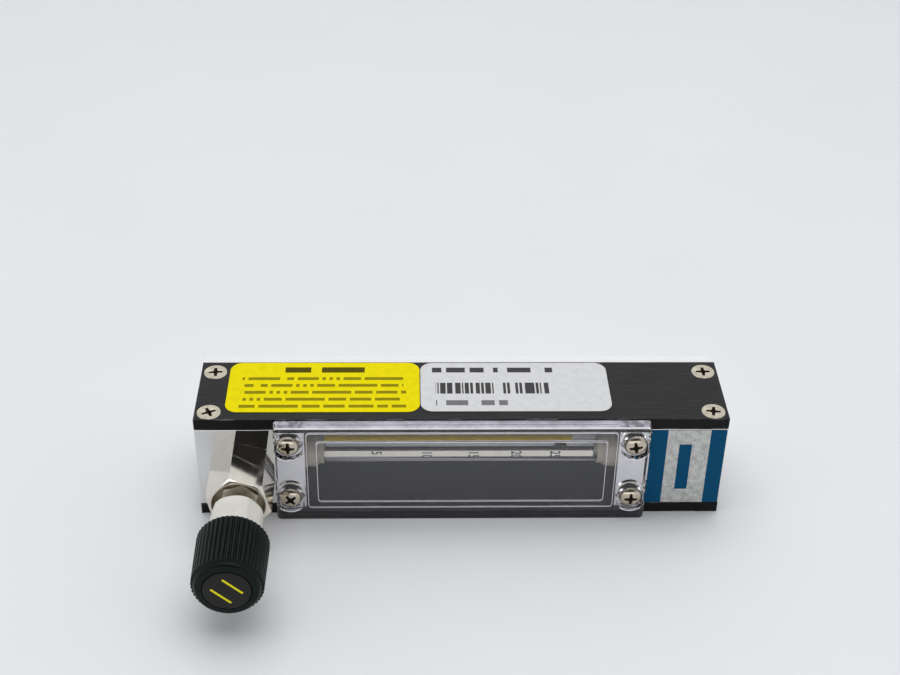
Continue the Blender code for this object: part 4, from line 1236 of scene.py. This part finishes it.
# %% Spindle and collar
THREAD_PITCH = 0.3175 * MM


def threaded(near, far, reach, depth, pitch):
    """Profile points of a thread drawn as rings: crest, flank, root, flank."""
    points = []
    for i in range(int((far - near) / pitch)):
        start = near + i * pitch
        points += [(start, reach), (start + 0.3 * pitch, reach), (start + 0.65 * pitch, reach - depth)]
    return points + [(far, reach)]


spindle_profile = [
    (spindle_low + SEAM, 0), (spindle_low + SEAM, 2.3 * MM),
    *threaded(spindle_low + 0.3 * MM, 2.5 * MM, 2.5 * MM, 0.16 * MM, THREAD_PITCH),
    (2.5 * MM, STEM), (spindle_out - 0.2 * MM, STEM), (spindle_out, STEM - 0.2 * MM), (spindle_out, 0),
]
add("spindle_steel", turned("spindle", spindle_profile, BORE_FACETS), steel, "knob", VALVE, ["spindle"])

collar_in, collar_out, collar_corner = span("knob_collar", VALVE)
COLLAR_ACROSS, COLLAR_TURN = 11.4 * MM, math.radians(10.6)
collar_blank = [
    (collar_in, STEM + SEAM), (collar_in, collar_corner - 0.45 * MM), (collar_in + 0.4 * MM, collar_corner),
    (collar_out, collar_corner), (collar_out, STEM + SEAM),
]
hexagon(
    "knob_collar_white", (collar_in - SEAM, collar_out + SEAM, COLLAR_ACROSS, COLLAR_TURN), collar_blank,
    collar_white, "knob", VALVE, ["knob_collar"], 0.16 * MM,
)
print("collar from", round(collar_in / MM, 1), "to", round(collar_out / MM, 1), "mm")

# %% Ribbed knob
RIBS = 45
RIB_POINTS = 12
RIB_DEPTH = 0.46 * MM
CAP_SEAT, COLLET_HOLE, KNOB_SHELL = 5.4 * MM, 2.7 * MM, 6.7 * MM
knob_in, knob_out, knob_reach = span("knob", VALVE)
RIBS_END = knob_out - 1.5 * MM


def ribbed(along, reach, depth):
    """A ring of the knob: rounded ribs with narrow grooves between them."""
    points = []
    for i in range(RIBS * RIB_POINTS):
        angle = i * math.tau / (RIBS * RIB_POINTS)
        wave = 0.5 - 0.5 * max(-1.0, min(1.0, 0.25 + 1.35 * math.cos(RIBS * angle)))
        out = reach - depth * wave
        points.append((out * math.cos(angle), out * math.sin(angle), along))
    return points


def knob_rings():
    """From the rear rim along the grip, over the smooth front and back through the inside."""
    front_reach = knob_reach - 0.23 * MM
    rings = [ribbed(knob_in, knob_reach - 0.35 * MM, 0.0)]
    rings.append(ribbed(knob_in + 0.12 * MM, knob_reach - 0.12 * MM, 0.6 * RIB_DEPTH))
    for share in (0.03, 0.25, 0.5, 0.75, 1.0):
        along = knob_in + (RIBS_END - knob_in) * share
        rings.append(ribbed(along, knob_reach + (front_reach - knob_reach) * share, RIB_DEPTH))
    rings.append(ribbed(RIBS_END + 0.15 * MM, front_reach - 0.2 * MM, 0.5 * RIB_DEPTH))
    smooth = [(0.25, 0.5), (0.3, 0.55), (0.9, 0.75), (1.2, 0.95), (1.4, 1.2), (1.5, 1.5)]
    rings += [ribbed(RIBS_END + a * MM, front_reach - b * MM, 0.0) for a, b in smooth]
    web_out, web_in = knob_out - 4.8 * MM, collar_out + 0.2 * MM
    inside = [
        (knob_out, CAP_SEAT + 0.2 * MM), (knob_out - 0.15 * MM, CAP_SEAT), (web_out, CAP_SEAT),
        (web_out, COLLET_HOLE), (web_in, COLLET_HOLE), (web_in, KNOB_SHELL),
        (knob_in + 0.3 * MM, KNOB_SHELL), (knob_in, KNOB_SHELL + 0.3 * MM),
    ]
    return rings + [ribbed(a, b, 0.0) for a, b in inside]


add("knob_ribbed", loft("knob", knob_rings(), looped=True), knob_black, "knob", VALVE, ["knob"])
print("knob:", RIBS, "ribs,", round(2 * knob_reach / MM, 1), "mm across")

# %% [markdown]
# The disc's own mark is two plain parallel bars in yellow, lying askew. They say which way the knob
# stands and nothing else.

# %% Cap with its two bars
BAR_APART, BAR_HALF_WIDTH, BAR_HALF_LENGTH = 1.95, 0.27, 2.9
BAR_TURN = math.radians(-43.0)


def cap_print():
    made = Finish("grey cap with yellow bars", "grey_cap")
    along = made.x * math.cos(BAR_TURN) + made.y * math.sin(BAR_TURN)
    across = made.y * math.cos(BAR_TURN) - made.x * math.sin(BAR_TURN)
    bars = (abs(abs(across) - BAR_APART) < BAR_HALF_WIDTH) * (abs(along) < BAR_HALF_LENGTH)
    grain = made.noise(0.10, 2.0, 0.6)
    cloud = made.noise(2.0, 3.0)
    grey = made.mixed((0.014, 0.0135, 0.0125), (0.024, 0.023, 0.021), cloud)
    colour = made.mixed(grey, (0.82, 0.74, 0.006), bars * (0.93 + 0.07 * grain))
    rough = 0.50 + 0.12 * grain - 0.08 * bars
    surface = made.bump(grain + bars * 0.6, 0.012)
    return made.done(Base_Color=colour, Roughness=rough, Specular_IOR_Level=0.15, Normal=surface)


cap_in, cap_out, cap_reach = span("knob_cap", VALVE)
CAP_THICK, CAP_SKIRT = 1.05 * MM, 0.6 * MM
cap_profile = [
    (cap_out, 0), (cap_out, cap_reach - 0.3 * MM), (cap_out - 0.08 * MM, cap_reach - 0.12 * MM),
    (cap_out - 0.25 * MM, cap_reach), (cap_in, cap_reach), (cap_in, cap_reach - CAP_SKIRT),
    (cap_out - CAP_THICK, cap_reach - CAP_SKIRT), (cap_out - CAP_THICK, 0),
]
add("knob_cap_disc", turned("knob_cap", cap_profile), cap_print(), "knob", VALVE, ["knob_cap"])
print("cap", round(2 * cap_reach / MM, 1), "mm across")

# %% [markdown]
# ## Pipe fittings and end plug
#
# The two ports at the rear are hexagon fittings with a tapered internal pipe thread. Threads are rings
# here and not a true helix: at this size nobody can follow one turn to the next, and rings stay closed
# and light. The plug that closes the outlet block has a hexagon socket.

# %% Fittings with threaded ports
PORT, PORT_DEPTH, PORT_PITCH = 4.35 * MM, 7.3 * MM, 0.94 * MM
PORT_THREAD = 0.5 * MM
FITTING_STEM, FITTING_HOLE, HEX_IN = 5.0 * MM, 2.2 * MM, 3.3 * MM


def port_thread(mouth, floor):
    """Internal thread from the mouth inward, getting a little narrower, as a pipe thread does."""
    points = []
    turns = int((mouth - floor) / PORT_PITCH)
    for i in range(turns):
        start = mouth - 0.5 * MM - i * PORT_PITCH
        reach = PORT - 0.03 * MM * i
        points += [(start, reach), (start - 0.15 * PORT_PITCH, reach)]
        points += [(start - share * PORT_PITCH, reach - PORT_THREAD) for share in (0.5, 0.65)]
    return [p for p in points if p[0] > floor + 0.1 * MM]


def fitting(which, on, turn):
    node = f"{which}_fitting"
    low, out, _ = span(node, on)
    floor = out - PORT_DEPTH
    blank = [
        (low, FITTING_HOLE), (low, FITTING_STEM), (HEX_IN, FITTING_STEM), (HEX_IN, HEX_CORNER - 0.4 * MM),
        (HEX_IN + 0.4 * MM, HEX_CORNER + SEAM), (out - 0.7 * MM, HEX_CORNER + SEAM),
        (out, HEX_ACROSS / 2 - 0.05 * MM), (out, PORT + 0.4 * MM), *port_thread(out, floor),
        (floor, PORT - 0.8 * MM), (floor, FITTING_HOLE),
    ]
    bar = (low - SEAM, out + SEAM, HEX_ACROSS, turn)
    hexagon(node + "_nickel", bar, blank, bar_nickel, "frame", on, [node], 0.06 * MM)
    return out


fitting("inlet", INLET, math.radians(36.4))
fitting("outlet", OUTLET, 0.0)

SOCKET, SOCKET_DEPTH, PLUG_EDGE = 5.5 * MM, 3.4 * MM, 0.35 * MM
plug_blank = [
    (plug_in, 0), (plug_in, plug_reach), (plug_out - PLUG_EDGE, plug_reach),
    (plug_out, plug_reach - PLUG_EDGE), (plug_out, 0),
]
plug = add("end_plug_nickel", turned("end_plug", plug_blank), bar_nickel, "frame", TUBE, ["end_plug"])
combine(plug, hexagon_bar(plug_out - SOCKET_DEPTH, plug_out + SEAM, SOCKET, 0.0), "DIFFERENCE", TUBE)
settle(plug, bar_nickel, 0.1 * MM, 2)
print("fittings: 2, plug socket", round(SOCKET / MM, 1), "mm across flats")

# %% [markdown]
# ## Labels
#
# A label is a thin sheet with round corners, laid a hair above its face. Its origin is moved to its own
# middle, so that the print, which is measured from local zero, stays in place whatever the plate's size.

# %% Labels
def label(node, print_finish, on, corner):
    low, high = (on.inverted() @ corner_point for corner_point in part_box(node))
    size = [abs(b - a) for a, b in zip(low, high)]
    middle = (low + high) / 2
    near, far = sorted((low.z, high.z))
    finish = print_finish(size[0] / 2 / MM, size[1] / 2 / MM)
    rings = [rounded_rectangle(h - middle.z, size[0], size[1], corner, 12) for h in (near, far)]
    here = on @ Matrix.Translation(middle)
    add(node + "_vinyl", loft(node, rings), finish, "frame", here, [node], 0.02 * MM, 2)
    print(node, [round(s / MM, 1) for s in size[:2]], "mm")


VINYL_CORNER, FOIL_CORNER = 3.0 * MM, 0.2 * MM
label("yellow_label", yellow_print, UPPER, VINYL_CORNER)
label("white_label", white_print, UPPER, VINYL_CORNER)
label("blue_label", blue_print, FRONT, FOIL_CORNER)

# %% [markdown]
# ## Pieces that stay as they are
#
# Seals, stops, the needle and the parts of the valve inside the block keep their own meshes, since their
# shape is already right and little of them shows. They still get the finishes made above, because they
# come into view when the object is taken apart.

# %% Finishes for the inner pieces
RINGS = ["inlet_tube_seal", "outlet_tube_seal", "clamp_screw_ring", "end_plug_ring", "valve_seat_ring",
         "bonnet_ring", "inlet_fitting_ring", "outlet_fitting_ring"]
INNER = [
    (rubber, RINGS),
    (seat_cream, ["inlet_float_stop", "outlet_float_stop", "valve_seat", "stem_packing"]),
    (inner_brass, ["tube_clamp_screw", "needle_guide", "knob_collet", "collet_nut"]),
    (inner_steel, ["needle"]),
]
for finish, nodes in INNER:
    for node in nodes:
        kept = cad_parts[node]
        kept.data.materials.clear()
        kept.data.materials.append(finish.material)
print("kept:", sum(len(nodes) for _, nodes in INNER), "inner pieces")

# %% [markdown]
# ## Table and light
#
# The set is a plain pale table under a large soft light. Polished metal has no look of its own, so what
# stands round it matters most: a broad panel above and a pale room give it something bright, a dark patch
# of room above and in front gives its edges contrast, and a low card in front opens the shadows.

# %% Floor
def table_top():
    made = Finish("pale table", "white_acrylic")
    cloud = made.noise(60.0, 3.0)
    fine = made.noise(0.8, 3.0)
    colour = made.mixed((0.76, 0.77, 0.79), (0.80, 0.81, 0.83), cloud)
    return made.done(Base_Color=colour, Roughness=0.55 + 0.1 * fine, Normal=made.bump(fine, 0.01))


TABLE_HALF, TABLE_TOP = 2.5, -0.05 * MM
corners = [(x * TABLE_HALF, y * TABLE_HALF, TABLE_TOP) for x, y in ((-1, -1), (1, -1), (1, 1), (-1, 1))]
floor_mesh = bpy.data.meshes.new("table")
floor_mesh.from_pydata(corners, [], [(0, 1, 2, 3)])
floor_mesh.materials.append(table_top().material)
floor = placed("table", floor_mesh)
print("table", 2 * TABLE_HALF, "m square")

# %% Lights and room
def softbox(name, place, aim, size, power, colour=(1.0, 1.0, 1.0)):
    lamp = bpy.data.lights.new(name, "AREA")
    lamp.shape = "RECTANGLE"
    lamp.size, lamp.size_y = size
    lamp.energy = power
    lamp.color = colour
    holder = placed(name, lamp)
    holder.location = place
    holder.rotation_euler = (Vector(aim) - Vector(place)).to_track_quat("-Z", "Y").to_euler()
    return holder


def world_node(tree, kind, sockets, **settings):
    made = tree.nodes.new(kind)
    for name, value in settings.items():
        setattr(made, name, value)
    for name, value in sockets.items():
        if isinstance(value, bpy.types.NodeSocket):
            tree.links.new(value, made.inputs[name])
        else:
            made.inputs[name].default_value = value
    return made.outputs[0] if made.outputs else made


PALE_WALL, DARK_WALL = (0.97, 0.985, 1.0, 1.0), (0.02, 0.02, 0.022, 1.0)
DARK_HEIGHT = 48
DARK_FROM, DARK_FULL = 0.55, 0.88


def room(strength):
    """A pale room with one dark side: the place above and behind the camera, where nothing is lit."""
    world = bpy.data.worlds.new("room")
    world.use_nodes = True
    tree = world.node_tree
    tree.nodes.clear()
    direction = world_node(tree, "ShaderNodeTexCoord", {})
    height = math.radians(DARK_HEIGHT)
    dark_side = (0.0, -math.cos(height), math.sin(height))
    toward = tree.nodes.new("ShaderNodeVectorMath")
    toward.operation = "DOT_PRODUCT"
    tree.links.new(direction, toward.inputs[0])
    toward.inputs[1].default_value = dark_side
    share = {"Value": toward.outputs["Value"], "From Min": DARK_FROM, "From Max": DARK_FULL}
    dark = world_node(tree, "ShaderNodeMapRange", share, interpolation_type="SMOOTHSTEP")
    light = world_node(tree, "ShaderNodeMix", {0: dark, 6: PALE_WALL, 7: DARK_WALL}, data_type="RGBA")
    colour = light.node.outputs[2]
    background = world_node(tree, "ShaderNodeBackground", {0: colour, 1: strength})
    world_node(tree, "ShaderNodeOutputWorld", {0: background})
    scene.world = world


room(0.92)
softbox("overhead panel", (0.02, 0.04, 0.80), (0, 0, 0), (0.9, 0.7), 3.4)
softbox("low front card", (-0.10, -0.90, 0.16), (0, 0, 0), (1.3, 0.26), 1.6)
print("lights: room, one panel and one card")
